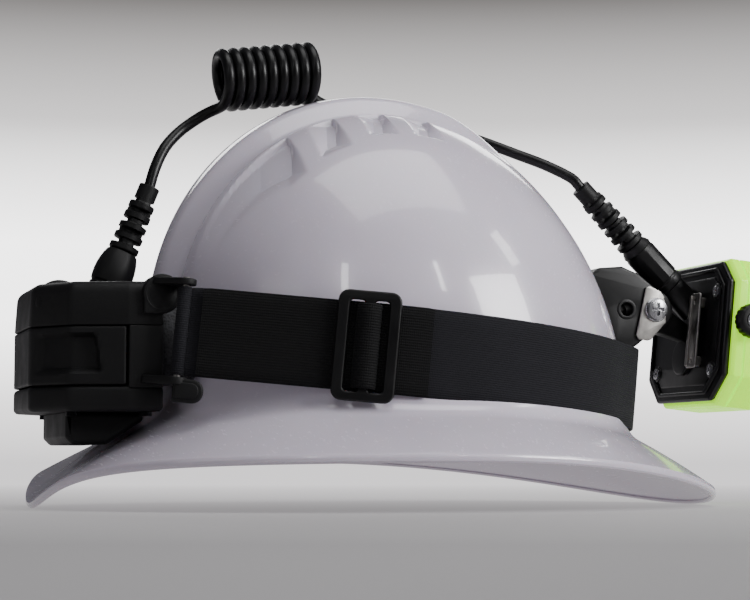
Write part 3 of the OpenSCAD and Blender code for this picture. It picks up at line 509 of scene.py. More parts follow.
def makeStage():
    material, tree, surface, place = startMaterial("paleMattFloor")
    link(tree, twoColours(tree, noise(tree, place, 900, 2), "8E8C8D", "929091"), surface, "Base Color")
    link(tree, bump(tree, noise(tree, place, 1.5, 2), 0.02), surface, "Normal")
    surface.inputs["Roughness"].default_value = 0.8
    # behind the lamp the floor fades into the backdrop, so no edge shows at the horizon
    azimuth = math.radians(view["azimuth"])
    away = addNode(tree, "ShaderNodeVectorMath", {"operation": "DOT_PRODUCT"}, i0=place,
                   i1=(-math.sin(azimuth), math.cos(azimuth), 0)).outputs["Value"]
    fade = addNode(tree, "ShaderNodeEmission", Color=linear(view["horizonShade"]), Strength=view["backdrop"])
    mixed = addNode(tree, "ShaderNodeMixShader", i0=between(tree, away, 0.0, 1.0, -0.45, 0.9),
                    i1=surface.outputs[0], i2=fade.outputs[0])
    tree.links.new(mixed.outputs[0], tree.nodes["Material Output"].inputs["Surface"])
    reach = 6000
    corners = [[-reach, -reach, -0.02], [reach, -reach, -0.02], [reach, reach, -0.02], [-reach, reach, -0.02]]
    floor = newPiece("floor", corners, [[0, 1, 2, 3]], None, material)


def makeCamera():
    azimuth = math.radians(view["azimuth"])
    data = bpy.data.cameras.new("camera")
    data.sensor_width = 36.0
    data.lens = view["focal"] * 36.0
    camera = bpy.data.objects.new("camera", data)
    bpy.context.scene.collection.objects.link(camera)
    place = np.array([math.sin(azimuth), -math.cos(azimuth), 0]) * view["distance"] + [0, 0, view["height"]]
    camera.location = Vector(placed(hatFrame, place) / 1000)
    pitch = math.atan(view["horizonBelow"] / view["focal"])
    camera.rotation_euler = (math.pi / 2 + pitch, 0, azimuth)
    bpy.context.scene.camera = camera


def areaLight(name, place, aim, size, watts, colour=(1, 1, 1)):
    # place and aim are in metres in the row's frame
    data = bpy.data.lights.new(name, "AREA")
    data.shape = "RECTANGLE"
    data.size, data.size_y = size
    data.energy = watts
    data.color = colour
    light = bpy.data.objects.new(name, data)
    bpy.context.scene.collection.objects.link(light)
    light.location = place
    light.rotation_euler = (Vector(aim) - Vector(place)).to_track_quat("-Z", "Y").to_euler()
    return light


def makeLights():
    areaLight("overheadSoftbox", (0.1, -0.35, 1.4), (0, 0, 0.1), (1.2, 0.8), 10.5)
    areaLight("keySoftbox", (1.1, -1.1, 0.7), (0.05, 0, 0.1), (0.7, 0.6), 25)
    areaLight("leftSoftbox", (-1.5, -0.8, 0.5), (-0.1, 0, 0.1), (0.7, 0.7), 1.2)
    areaLight("rearSoftbox", (0.3, 1.3, 0.9), (0, 0, 0.14), (1.4, 0.4), 8)
    # three tall windows, each of two panes one above the other, give the broken highlights on the crown
    windows = (((-0.74, -1.28, 0.9), 0.085, 0.6), ((0.4, -1.37, 0.97), 0.05, 0.5),
               ((1.14, -0.58, 1.1), 0.16, 0.9))
    for k, (place, wide, watts) in enumerate(windows):
        for row in (-1, 1):
            spot = (place[0], place[1], place[2] + row * 0.09)
            areaLight("window" + str(k) + "Pane" + str(row), spot, (-0.03, -0.08, 0.1), (wide, 0.15), watts)
    world = bpy.data.worlds.new("studio")
    world.use_nodes = True
    tree = world.node_tree
    back = tree.nodes["Background"]
    # the backdrop seen by the camera is white behind the lamp and grey above it; the room's own fill is dim
    place = addNode(tree, "ShaderNodeTexCoord").outputs["Generated"]
    up = addNode(tree, "ShaderNodeSeparateXYZ", Vector=place).outputs["Z"]
    ramp = addNode(tree, "ShaderNodeValToRGB", Fac=up)
    stops = ramp.color_ramp
    stops.elements[0].position, stops.elements[0].color = 0.0, linear(view["horizonShade"])
    stops.elements[1].position, stops.elements[1].color = 0.235, linear("3C3A39")
    for position, shade in ((0.03, "B5B3B3"), (0.07, "F4F3F3"), (0.11, "FAF9F9"), (0.17, "8F8D8D")):
        middle = stops.elements.new(position)
        middle.color = linear(shade)
    scaled = addNode(tree, "ShaderNodeVectorMath", {"operation": "SCALE"}, i0=ramp.outputs["Color"],
                     Scale=view["backdrop"]).outputs[0]
    seen = addNode(tree, "ShaderNodeLightPath").outputs["Is Camera Ray"]
    mixed = addNode(tree, "ShaderNodeMix", {"data_type": "RGBA"}, i0=seen, i6=linear("56555A"), i7=scaled)
    tree.links.new(mixed.outputs[2], back.inputs["Color"])
    back.inputs["Strength"].default_value = 1.0
    bpy.context.scene.world = world


makeStage()
makeCamera()
makeLights()
print("camera, floor and light made")

# The cord, from the pack's boot through the coil to the lamp's boot
cord = {"diameter": 5.3, "coilRear": (-79, 0, 197), "coilFront": (-27.4, 4, 205), "coilLength": 52,
        "coilOuter": 30, "turns": 8.75, "sides": 18}
rearRoute = [(-109, 0, 145), (-106, 1, 155), (-101, 4, 165), (-94, 7.5, 173), (-86, 8.5, 179.5),
             (-79.5, 5.5, 183.5)]
frontRoute = [(-29.2, 16.2, 200), (-26.3, 17, 195.2), (-19, 20, 192.6), (-8, 24, 191), (12, 28, 190),
              (32, 28, 188), (50, 27, 184), (66, 24, 179), (80, 18, 173), (91, 9, 167), (101.5, 1, 160),
              (106, 0, 155.3), (111.5, 0, 149.9)]


def splinePoints(points, per):
    # a smooth curve through every point
    p = np.asarray(points, dtype=float)
    p = np.vstack([2 * p[0] - p[1], p, 2 * p[-1] - p[-2]])
    t = (np.arange(per) / per)[:, None]
    out = []
    for i in range(1, len(p) - 2):
        a, b, c, d = p[i - 1:i + 3]
        out.append(0.5 * (2 * b + (c - a) * t + (2 * a - 5 * b + 4 * c - d) * t ** 2 + (3 * b - a - 3 * c + d)
                          * t ** 3))
    return np.vstack(out + [p[-2][None, :]])


def tubeRings(path, radius, sides):
    # round rings carried along the path without twist
    ahead = np.gradient(path, axis=0)
    ahead = ahead / np.linalg.norm(ahead, axis=1, keepdims=True)
    side = np.cross(ahead[0], [0, 1, 0.02])
    angle = np.arange(sides) * 2 * math.pi / sides
    rings = []
    for i in range(len(path)):
        side = side - ahead[i] * (side @ ahead[i])
        side = side / np.linalg.norm(side)
        other = np.cross(ahead[i], side)
        r = radius[i] if np.ndim(radius) else radius
        rings.append(path[i] + r * (np.cos(angle)[:, None] * side + np.sin(angle)[:, None] * other))
    return np.array(rings)


def coilPoints():
    # a helix about the coil's axis: it starts at the bottom, climbs the near side and ends on the far side
    start, end = np.array(cord["coilRear"], float), np.array(cord["coilFront"], float)
    axis = (end - start) / np.linalg.norm(end - start)
    up = np.array([0, 0, 1.0]) - axis * axis[2]
    up = up / np.linalg.norm(up)
    near = np.cross(axis, up)
    near = near if near[1] < 0 else -near
    r = cord["diameter"] / 2
    reach = cord["coilOuter"] / 2 - r
    count = int(24 * cord["turns"])
    t = np.linspace(0, 1, count + 1)
    angle = math.pi - 2 * math.pi * cord["turns"] * t
    along = r + (cord["coilLength"] - 2 * r) * t
    return (start + along[:, None] * axis + reach * np.cos(angle)[:, None] * up
            + reach * np.sin(angle)[:, None] * near)


def makeCord():
    coil = coilPoints()
    lead = splinePoints(rearRoute + [tuple(coil[0])], 3)[:-1]
    tail = splinePoints([tuple(coil[-1])] + frontRoute, 3)[1:]
    path = np.vstack([lead, coil, tail])
    # the ends of the lead and tail join the coil on one smooth curve
    for _ in range(3):
        for low, high in ((len(lead) - 7, len(lead) + 5), (len(lead) + len(coil) - 6, len(lead) + len(coil)
                                                           + 8)):
            path[low:high] = 0.25 * path[low - 1:high - 1] + 0.5 * path[low:high] + 0.25 * path[low + 1:high
                + 1]
    rings = tubeRings(path, cord["diameter"] / 2, cord["sides"])
    points, faces = closedRings(rings)
    piece = newPiece("coiled_cord", placed(hatFrame, points), faces, None, materials["sheath"],
                     ("cord_rear", "cord_coil", "cord_front"), sharp=60)
    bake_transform(piece)


makeCord()

# Hat shell
shell = {"columns": 360, "riseFront": 6, "riseRear": 0.13, "creaseDepth": 1.4, "frontCrest": 1.4,
         "notchDepth": 3.8, "lipInset": 1.1}
# recesses beside the ridge: rear end, upper corner, foot corner and valley foot along x,
# then y at crease, valley and foot
notches = [(-97, -51.4, -49.5, -57.5, 31, 48, 56), (-42.3, -29.6, -27.8, -36.3, 30, 47, 54),
           (-18.9, -6.1, -4.6, -13.2, 28, 45, 50.5), (3, 16, 17.7, 9.4, 28.5, 45, 50.5)]


def ridgeHeight(theta, elevation, crease=True):
    # a rounded rib over the top and rear with a crease at its foot, going on as a low crest at the front
    along = np.degrees(np.arctan2(np.sin(elevation), np.cos(elevation) * np.cos(theta)))
    across = np.abs(hat["crownB"] * np.cos(elevation) * np.sin(theta))
    half = hat["ridgeHalf"] + (hat["ridgeRearHalf"] - hat["ridgeHalf"]) * smooth(90, 180, along)
    fade = smooth(50, 75, along)
    crown = 1 - 0.12 * np.clip(across / half, 0, 1) ** 2
    height = hat["ridgeHeight"] * fade * smooth(0, 1, (half + 5 - across) / 10) * crown
    if crease:
        height = height - shell["creaseDepth"] * fade * np.exp(-((across - half - 6.5) / 2.2) ** 2)
        height = height + shell["frontCrest"] * smooth(8, 30, along) * smooth(80, 55, along) * smooth(30, 18,
            across)
    return height


def notchDepth(x, y):
    # each recess falls from its rear edge to a slanting valley and rises steeply in front of it
    depth = np.zeros_like(x)
    y = np.abs(y)
    for rear, top, foot, valley, crease, low, end in notches:
        share = (y - crease) / (low - crease)
        bottom = top - (top - valley) * share
        front = top + (foot - top) * (y - crease) / (end - crease)
        lower = end if rear > -60 else end - 20 * np.clip((valley - x) / (valley - rear), 0, 1)
        part = np.minimum((x - rear) / np.maximum(bottom - rear, 1), (front - x) / np.maximum(front - bottom,
            1.2))
        part = np.minimum(part, (lower - y) / (end - low + 1))
        part = np.minimum(part, (y - crease + 3) / 3)
        depth = np.maximum(depth, shell["notchDepth"] * np.clip(part, 0, 1))
    return depth


def crownPoints(theta, elevation, inward, detail):
    lift = ridgeHeight(theta, elevation, detail) - inward
    if detail:
        x = (hat["crownX"] - hat["lean"] * np.sin(elevation)
             + hat["crownA"] * np.cos(elevation) * np.cos(theta))
        y = hat["crownB"] * np.cos(elevation) * np.sin(theta)
        lift = lift - notchDepth(x, y) * smooth(math.radians(20), math.radians(32), elevation)
    return np.stack([hat["crownX"] - hat["lean"] * np.sin(elevation)
                     + (hat["crownA"] + lift) * np.cos(elevation) * np.cos(theta),
                     (hat["crownB"] + lift) * np.cos(elevation) * np.sin(theta),
                     hat["crownZ"] + (hat["crownHeight"] + lift) * np.sin(elevation)], axis=-1)


def lipRise(theta):
    # the lower edge is at the table at the two tips and rises towards the sides, sooner at the rear
    square = np.sin(theta) ** 2
    k = np.where(np.cos(theta) > 0, shell["riseFront"], shell["riseRear"])
    return hat["brimRise"] * square * (1 + k) / (square + k)


def brimPoints(theta, share, inward):
    x0 = hat["crownX"] + (hat["crownA"] - inward + ridgeHeight(theta, 0 * theta, False)) * np.cos(theta)
    y0 = (hat["crownB"] - inward) * np.sin(theta)
    x1 = (hat["length"] / 2 - shell["lipInset"]) * np.cos(theta)
    y1 = (hat["width"] / 2 - shell["lipInset"]) * np.sin(theta)
    low = lipRise(theta) + hat["lipHeight"]
    high = hat["joinZ"] - hat["frontDip"] * np.maximum(0, np.cos(theta)) ** 2
    q = 1 - share
    return np.stack([x0 + (x1 - x0) * share, y0 + (y1 - y0) * share,
                     low + (high - low) * q * (1.15 - 0.15 * q) - 1.3 * inward], axis=-1)


def lipPoints(theta, out, down):
    edge = brimPoints(theta, np.ones_like(theta), 0)
    away = np.stack([np.cos(theta), np.sin(theta), 0 * theta], axis=-1)
    moved = edge + away * out
    moved[..., 2] -= down
    return moved


def makeHatShell():
    theta = np.arange(shell["columns"]) * 2 * math.pi / shell["columns"]
    rows = []
    fine = np.concatenate([np.arange(89.5, 40, -0.5), np.arange(40, 1.9, -1.5)])
    for elevation in np.radians(fine):
        rows.append(crownPoints(theta, np.full_like(theta, elevation), 0, True))
    wallTop, wallFoot = rows[-1], brimPoints(theta, 0 * theta, 0)
    for share in (0.2, 0.4, 0.6, 0.8):
        rows.append(wallTop + (wallFoot - wallTop) * share)
    join = len(rows)
    for share in np.concatenate([[0, 0.03, 0.07, 0.12], np.linspace(0.17, 1, 26)]):
        rows.append(brimPoints(theta, np.full_like(theta, share), 0))
    rows = np.array(rows)
    for _ in range(14):
        low, high = join - 3, join + 5
        rows[low:high] = 0.5 * rows[low:high] + 0.25 * (rows[low - 1:high - 1] + rows[low + 1:high + 1])
    rows = list(rows)
    for out, down in ((0.5, 0.3), (0.95, 1.1), (1.05, 2.1), (0.8, 3.1), (0.1, 3.85), (-0.7, 4.0), (-1.5, 3.6),
                      (-1.9, 2.8)):
        rows.append(lipPoints(theta, out, down))
    for share in (0.965, 0.92, 0.8, 0.65, 0.5, 0.35, 0.2, 0.08, 0):
        rows.append(brimPoints(theta, np.full_like(theta, share), hat["wall"]))
    for elevation in np.radians(np.arange(2, 89, 3.0)):
        rows.append(crownPoints(theta, np.full_like(theta, elevation), hat["wall"], False))
    points, faces = closedRings(np.array(rows))
    newPiece("hat_shell_moulding", placed(hatFrame, points), faces, "hat", materials["hat"],
             ("hat_shell",), sharp=24)


makeHatShell()
print("hat shell made")

# Strap, its outer layers, sliders and loops
webbing = {"step": 2.0, "edgeRound": 0.45, "sliderLength": 27, "sliderBar": 5, "sliderThick": 2.7,
           "loopRadius": 4.5}
layerOut = strap["thickness"] + strap["layerGap"]
sliderOut = layerOut + strap["thickness"] + 0.5


def strapLift(degrees):
    ahead = np.maximum(0, np.cos(np.radians(degrees)))
    lean = strap["width"] / 2 * math.sin(math.radians(strap["tilt"])) * ahead
    return strap["gap"] + lean + (strap["baseThick"] + 0.4) * smooth(0, 1, (38 - np.abs(degrees)) / 16)


def strapArc(degrees, out):
    t = np.radians(degrees)
    lift = strapLift(degrees) + out
    return np.stack([hat["crownX"] + (hat["crownA"] + lift) * np.cos(t), (hat["crownB"] + lift) * np.sin(t)],
                    axis=-1)


def strapStraight(distance, out, side):
    s = np.asarray(distance, dtype=float)
    return np.stack([tangentPoint[0] - s * tangentWay[0] - out * tangentWay[1],
                     side * (tangentPoint[1] - s * tangentWay[1] + out * tangentWay[0])], axis=-1)


def pathNormals(path):
    ahead = np.gradient(path, axis=0)
    ahead = ahead / np.linalg.norm(ahead, axis=1, keepdims=True)
    return np.stack([ahead[:, 1], -ahead[:, 0]], axis=1)


def stripSection(half, thick):
    # a flat section with rounded edges and a faint crown across each face
    e = webbing["edgeRound"]
    t = thick / 2
    across = np.linspace(-half + e, half - e, 9)
    crown = 0.08 * (1 - (across / half) ** 2)
    upper = [(t + c - 0.08, w) for w, c in zip(across, crown)]
    lower = [(-t - c + 0.08, w) for w, c in zip(across[::-1], crown)]
    return np.array(upper + [(t * 0.6, half - 0.1), (0, half), (-t * 0.6, half - 0.1)] + lower
                    + [(-t * 0.6, -half + 0.1), (0, -half), (t * 0.6, -half + 0.1)])


def stripMesh(path, half, thick):
    path = np.asarray(path, dtype=float)
    section = stripSection(half, thick)
    rings = bar(section, path, pathNormals(path))
    length = np.concatenate([[0], np.cumsum(np.linalg.norm(np.diff(path, axis=0), axis=1))])
    uv = np.zeros(rings.shape[:2] + (2,))
    uv[:, :, 0], uv[:, :, 1] = length[:, None], section[None, :, 1]
    # each end is pulled in a little so that it looks heat cut, not sliced
    rings[0] = rings[0].mean(axis=0) + (rings[0] - rings[0].mean(axis=0)) * [0.97, 0.97, 0.985]
    rings[-1] = rings[-1].mean(axis=0) + (rings[-1] - rings[-1].mean(axis=0)) * [0.97, 0.97, 0.985]
    points, faces = closedRings(rings)
    flat = np.vstack([uv.reshape(-1, 2), [[length[0], 0]], [[length[-1], 0]]])
    return points, faces, flat


def makeStrap():
    half, thick = strap["width"] / 2, strap["thickness"]
    arc = np.arange(-strap["tangentAngle"] + 3, strap["tangentAngle"] - 2, webbing["step"])
    straight = np.arange(0, strap["straight"] - 2.2, 4.0)
    path = np.vstack([strapStraight(straight[::-1], thick / 2, -1), strapArc(arc, thick / 2),
                      strapStraight(straight, thick / 2, 1)])
    points, faces, uv = stripMesh(path, half, thick)
    parts, flats = [(points, faces)], [uv]
    for side in (-1, 1):
        middle = strapStraight(strap["straight"], thick / 2, side)
        ring, ringFacesList = turned([(1.62, -half + 0.2), (2.7, -half + 0.2), (3.0, -half + 0.6),
                                      (3.0, half - 0.6), (2.7, half - 0.2), (1.62, half - 0.2)], 40)
        parts.append((ring + [middle[0], middle[1], 0], ringFacesList))
        flats.append(np.stack([np.arctan2(ring[:, 1], ring[:, 0]) * 3, ring[:, 2]], axis=1))
    points, faces = joined(parts)
    newPiece("head_strap", placed(strapFrame, points), faces, "hat", materials["slate"],
             ("strap_band",), uv=np.vstack(flats), sharp=50)
    for side, name, node in ((-1, "strap_fold_near", "strap_layer_near"),
                             (1, "strap_fold_far", "strap_layer_far")):
        out = layerOut + thick / 2
        degrees = np.arange(strap["tangentAngle"] - 2, strap["layerEnd"] - 0.1, -1.5)
        arcPart = strapArc(degrees, out) * [1, side]
        path = np.vstack([strapStraight(np.arange(strap["layerStart"], -0.1, -3.0), out, side), arcPart])
        points, faces, uv = stripMesh(path, half, thick)
        newPiece(name, placed(strapFrame, points), faces, "hat", materials["elastic"],
                 (node,), uv=uv, sharp=50)


def makeSliders():
    window = (webbing["sliderLength"] - 2 * webbing["sliderBar"] - 4) / 2
    height = strap["width"] + 9
    for side, tag in ((-1, "near"), (1, "far")):
        body = tag + "_slider"
        half = webbing["sliderLength"] / 2
        outline = roundedOutline([(-half, -height / 2), (half, -height / 2), (half, height / 2),
                                  (-half, height / 2)], 4.5, 7)
        tall = strap["width"] / 2 + 0.4
        holes = []
        for sign in (-1, 1):
            x = sign * (window / 2 + 2)
            holes.append(roundedOutline([(x - window / 2, -tall), (x + window / 2, -tall),
                                         (x + window / 2, tall), (x - window / 2, tall)], 1.6, 4))
        points, faces = roundedPlate(outline, sliderOut, sliderOut + webbing["sliderThick"], 0.95, holes, 4)
        newPiece("strap_slider_" + tag, placed(sideFrom(tangentFrame(side)), points), faces, body,
                 materials["satin"], ("slider_" + tag,), sharp=45)
        # the strap comes up through one window, over the bar and down through the other
        r = webbing["loopRadius"]
        turn = np.radians(np.arange(196, -17, -9.0))
        path = np.stack([r * np.cos(turn) * 1.05, sliderOut - 0.1 + r * np.sin(turn) * 0.98], axis=1)
        path = np.vstack([[path[0][0] - 0.9, sliderOut - 1.2], [path[0][0] - 0.35, sliderOut - 1.1], path,
                          [path[-1][0] + 0.35, sliderOut - 1.1], [path[-1][0] + 0.9, sliderOut - 1.2]])
        points, faces, uv = stripMesh(path, strap["width"] / 2 - 1, strap["thickness"])
        newPiece("slider_loop_" + tag + "_webbing", placed(tangentFrame(side), points), faces, body,
                 materials["elastic"], ("slider_loop_" + tag,), uv=uv, sharp=50)


makeStrap()
makeSliders()
print("strap and sliders made")

# Strain reliefs
# for each boot: where it starts, its length, its ribs, the first rib's radius and the collar's length
boots = {"columns": 64, "rowsPerRib": 14, "core": 3.7, "web": 5.6, "collar": 4.8,
         "rear": (19.1, 33, 5, 6.9, 7), "front": (42.1, 39, 6, 7.2, 8)}


def ribbedBoot(name, matrix, start, length, ribs, radius, collar, body, node):
    # discs on a thin core; between two discs a web is left on two sides, a quarter turn further each time
    pitch = (length - collar) / ribs
    z = np.linspace(0, length, int(boots["rowsPerRib"] * ribs * 1.3))
    angle = np.arange(boots["columns"]) * 2 * math.pi / boots["columns"]
    rings = []
    for height in z:
        k = min(ribs - 1, int(height / pitch))
        phase = height / pitch - k
        disc = radius - 0.25 * k
        onDisc = float(smooth(0, 0.09, phase) * smooth(0.66, 0.57, phase))
        if height > length - collar - pitch * 0.05:
            sleeve = boots["collar"] * float(smooth(0, 0.8, length - height + 0.35) ** 0.5)
            rings.append(np.stack([sleeve * np.cos(angle), sleeve * np.sin(angle), 0 * angle + height],
                                  axis=1))
            continue
        openness = np.abs(np.cos(angle + (k % 2) * math.pi / 2))
        gap = boots["core"] + (boots["web"] - boots["core"]) * smooth(0.75, 0.45, openness)
        r = gap + (disc - gap) * onDisc
        rings.append(np.stack([r * np.cos(angle), r * np.sin(angle), 0 * angle + height], axis=1))
    points, faces = closedRings(np.array(rings))
    points[:, 2] += start
    newPiece(name, placed(matrix, points), faces, body, materials["rubber"], (node,), sharp=38)


def makeBoots():
    ribbedBoot("rear_strain_relief", rearBootFrame, *boots["rear"], "hat", "rear_boot")
    ribbedBoot("front_strain_relief", bootFrame, *boots["front"], "lamp", "front_boot")
    barrel = [(6.0, -1.5), (8.4, -1.2), (8.75, 0.2), (8.75, 1.6), (8.3, 2.0), (8.3, 2.6), (8.9, 3.2),
              (9.2, 5.5), (9.4, 8), (9.25, 11), (8.8, 13.6), (8.1, 16.2), (7.2, 18.4), (6.4, 18.9)]

    def flutes(r, z, a):
        # eight shallow hollows that deepen towards the boot
        return r * (1 - 0.025 * smooth(4, 12, z) * (0.5 + 0.5 * np.cos(8 * a)))

    points, faces = turned(barrel, 64, flutes)
    newPiece("rear_boot_barrel", placed(rearBootFrame, points), faces, "hat",
             materials["rubber"], ("rear_gland",), sharp=32)
    connector = [(6.2, -4.2), (7.0, -3.6), (7.0, 13.2), (7.9, 13.9), (8.1, 15.1), (8.1, 17.1), (7.5, 17.7),
                 (7.5, 18.3), (8.0, 18.8), (8.0, 35.7), (7.6, 36.7), (7.6, 37.7), (7.9, 38.3), (7.2, 40.1),
                 (6.2, 41.8), (5.4, 42.0)]

    def facets(r, z, a):
        # twelve flats between the two collars
        flat = math.cos(math.pi / 12) / np.cos(np.mod(a, math.pi / 6) - math.pi / 12)
        return r * np.where((z > 18.5) & (z < 36.5), flat, 1.0)

    points, faces = turned(connector, 96, facets)
    newPiece("front_connector", placed(bootFrame, points), faces, "lamp", materials["satin"],
             ("front_gland",), sharp=25)


makeBoots()
print("boots made")

# Bracket, its plates and the pivot screw
bracket = {"half": 13, "slotHalf": 4.4, "edge": 1.3, "boreRadius": 3.3, "plateThick": 1.4, "hubRadius": 10}


def reliefDisc(radius, height, base, rings=26, columns=72, rim=0.4):
    # a round head seen along its z: height(x, y, r) gives its upper face, base its foot
    angle = np.arange(columns) * 2 * math.pi / columns
    rows = [np.stack([(radius - rim) * np.cos(angle), (radius - rim) * np.sin(angle), 0 * angle + base],
                     axis=1),
            np.stack([radius * np.cos(angle), radius * np.sin(angle), 0 * angle + base + rim], axis=1)]
    for r in np.linspace(radius, 0.05, rings):
        x, y = r * np.cos(angle), r * np.sin(angle)
        rows.append(np.stack([x, y, height(x, y, r)], axis=1))
    return closedRings(np.array(rows))


def crossRecess(x, y, arm, width, depth):
    # two crossed slots with sloping ends
    one = smooth(width, width * 0.6, np.abs(y)) * smooth(arm, arm * 0.72, np.abs(x))
    two = smooth(width, width * 0.6, np.abs(x)) * smooth(arm, arm * 0.72, np.abs(y))
    return depth * np.maximum(one, two)


def upright(x, y, z, matrix=None):
    # a frame whose z points out of the near side
    swap = np.eye(4)
    swap[:3, :3] = [[1, 0, 0], [0, 0, -1], [0, 1, 0]]
    return (hatFrame if matrix is None else matrix) @ shiftBy(x, y, z) @ swap


def makeBracket():
    p = np.array([lamp["pivotX"], lamp["pivotZ"]])
    hub = [p + bracket["hubRadius"] * np.array([math.cos(a), math.sin(a)])
           for a in np.radians(np.arange(78, -99, -12.0))]
    rear = [p + q for q in ((-9.5, -17.5), (-16, -20.6), (-21.4, -20.6), (-27, 0), (-34, 16.5), (-29, 20),
                            (-17, 21), (-8, 17.5))]
    outline = roundedOutline(rear + hub, [1.5, 1.5, 1, 1, 1.2, 1.6, 1.6, 3] + [0] * len(hub), 4)
    spine = roundedOutline([p + q for q in ((-10, -18), (-16, -20.6), (-21.4, -20.6), (-27, 0), (-34, 16.5),
                                            (-29, 20), (-17, 21), (-10, 18.3))],
                                            [0.5, 2.5, 2, 1, 1.5, 3, 4, 0.5], 4)
    bore = circleOutline(bracket["boreRadius"], 28, p + [-15, 0])
    parts = []
    for low, high in ((-bracket["half"], -bracket["slotHalf"]), (bracket["slotHalf"], bracket["half"])):
        parts.append(roundedPlate(outline, low, high, bracket["edge"], [bore], 4))
    parts.append(roundedPlate(spine, -bracket["slotHalf"] - 0.6, bracket["slotHalf"] + 0.6, 0.3, [bore], 2))
    # a raised ring round the cross bore on each side
    for side in (-1, 1):
        ring = roundedPlate(circleOutline(5.0, 32, p + [-15, 0]), 12.6, 13.35, 0.35, [bore], 2)
        parts.append((ring[0] * [1, 1, side], ring[1]))
    block = joined(parts)
    degrees = np.arange(-17, 17.1, 2.0)
    low, high = -strap["width"] / 2 + 2, strap["width"] / 2 + 2.5
    path = strapArc(degrees, -strap["baseThick"] / 2 - 0.2)
    rings = bar([(1.1, low + 0.8), (1.3, low + 1.6), (1.3, high - 1.6), (1.1, high - 0.8), (0, high),
                 (-1.1, high - 0.8), (-1.3, high - 1.6), (-1.3, low + 1.6), (-1.1, low + 0.8), (0, low)],
                 path, pathNormals(path))
    base = closedRings(rings)
    points = [placed(sideFrom(hatFrame), block[0]), placed(strapFrame, base[0])]
    both = joined([(points[0], block[1]), (points[1], base[1])])
    newPiece("lamp_bracket_block", both[0], both[1], "hat", materials["satin"],
             ("lamp_bracket",), sharp=35)
    plate = roundedOutline([p + q for q in ((-5, 11), (-3.2, 11.6), (2.6, 9.2), (4.6, 6.5), (5.4, 1.9),
                                            (5.4, -6), (-2.6, -14.6), (-4.6, -15.2), (-9.6, -14.4),
                                            (-10.6, -12.6))], 1.4, 5)
    sides = []
    for side in (-1, 1):
        points, faces = roundedPlate(plate, bracket["half"] + 0.4, bracket["half"] + bracket["plateThick"],
                                     0.35, (), 3)
        sides.append((points * [1, 1, side], faces))
    points, faces = joined(sides)
    newPiece("bracket_side_plates", placed(sideFrom(hatFrame), points), faces, "hat",
             materials["steel"], ("bracket_plates",), sharp=40)
    face = bracket["half"] + bracket["plateThick"]

    def head(x, y, r):
        dome = face + 1.2 + 1.9 * np.sqrt(max(0.0, 1 - (r / 6.6) ** 2))
        return dome - crossRecess(x, y, 3.3, 0.75, 1.5) + 0 * x

    cap = reliefDisc(5.0, head, face + 0.9, 30, 96)
    washer = turned([(2.6, face + 0.02), (5.7, face + 0.02), (5.85, face + 0.25), (5.85, face + 0.75),
                     (5.6, face + 1.0), (2.6, face + 1.0)], 64)
    shank = turned([(2.3, -face - 4.8), (2.5, -face - 4.5), (2.5, face + 0.5)], 32)
    points, faces = joined([cap, washer, shank])
    newPiece("pivot_pan_screw", placed(upright(lamp["pivotX"], 0, lamp["pivotZ"]), points), faces, "hat",
             materials["screw"], ("pivot_screw",), sharp=35)


# Lamp: back cover, front shell, side knob
def octagon(width, height, cut, grow=0.0):
    w, h = width / 2 + grow, height / 2 + grow
    return [(-w, -h + cut), (-w + cut, -h), (w - cut, -h), (w, -h + cut),
            (w, h - cut * 0.8), (w - cut * 0.8, h), (-w + cut * 0.8, h), (-w, h - cut * 0.8)]


def lampOutline(grow=0.0, cut=None, radius=2.5):
    outline = roundedOutline(octagon(lamp["width"], lamp["height"], lamp["corner"] if cut is None else cut,
                                     grow), radius, 5)
    return outline + [0, lamp["middle"]]


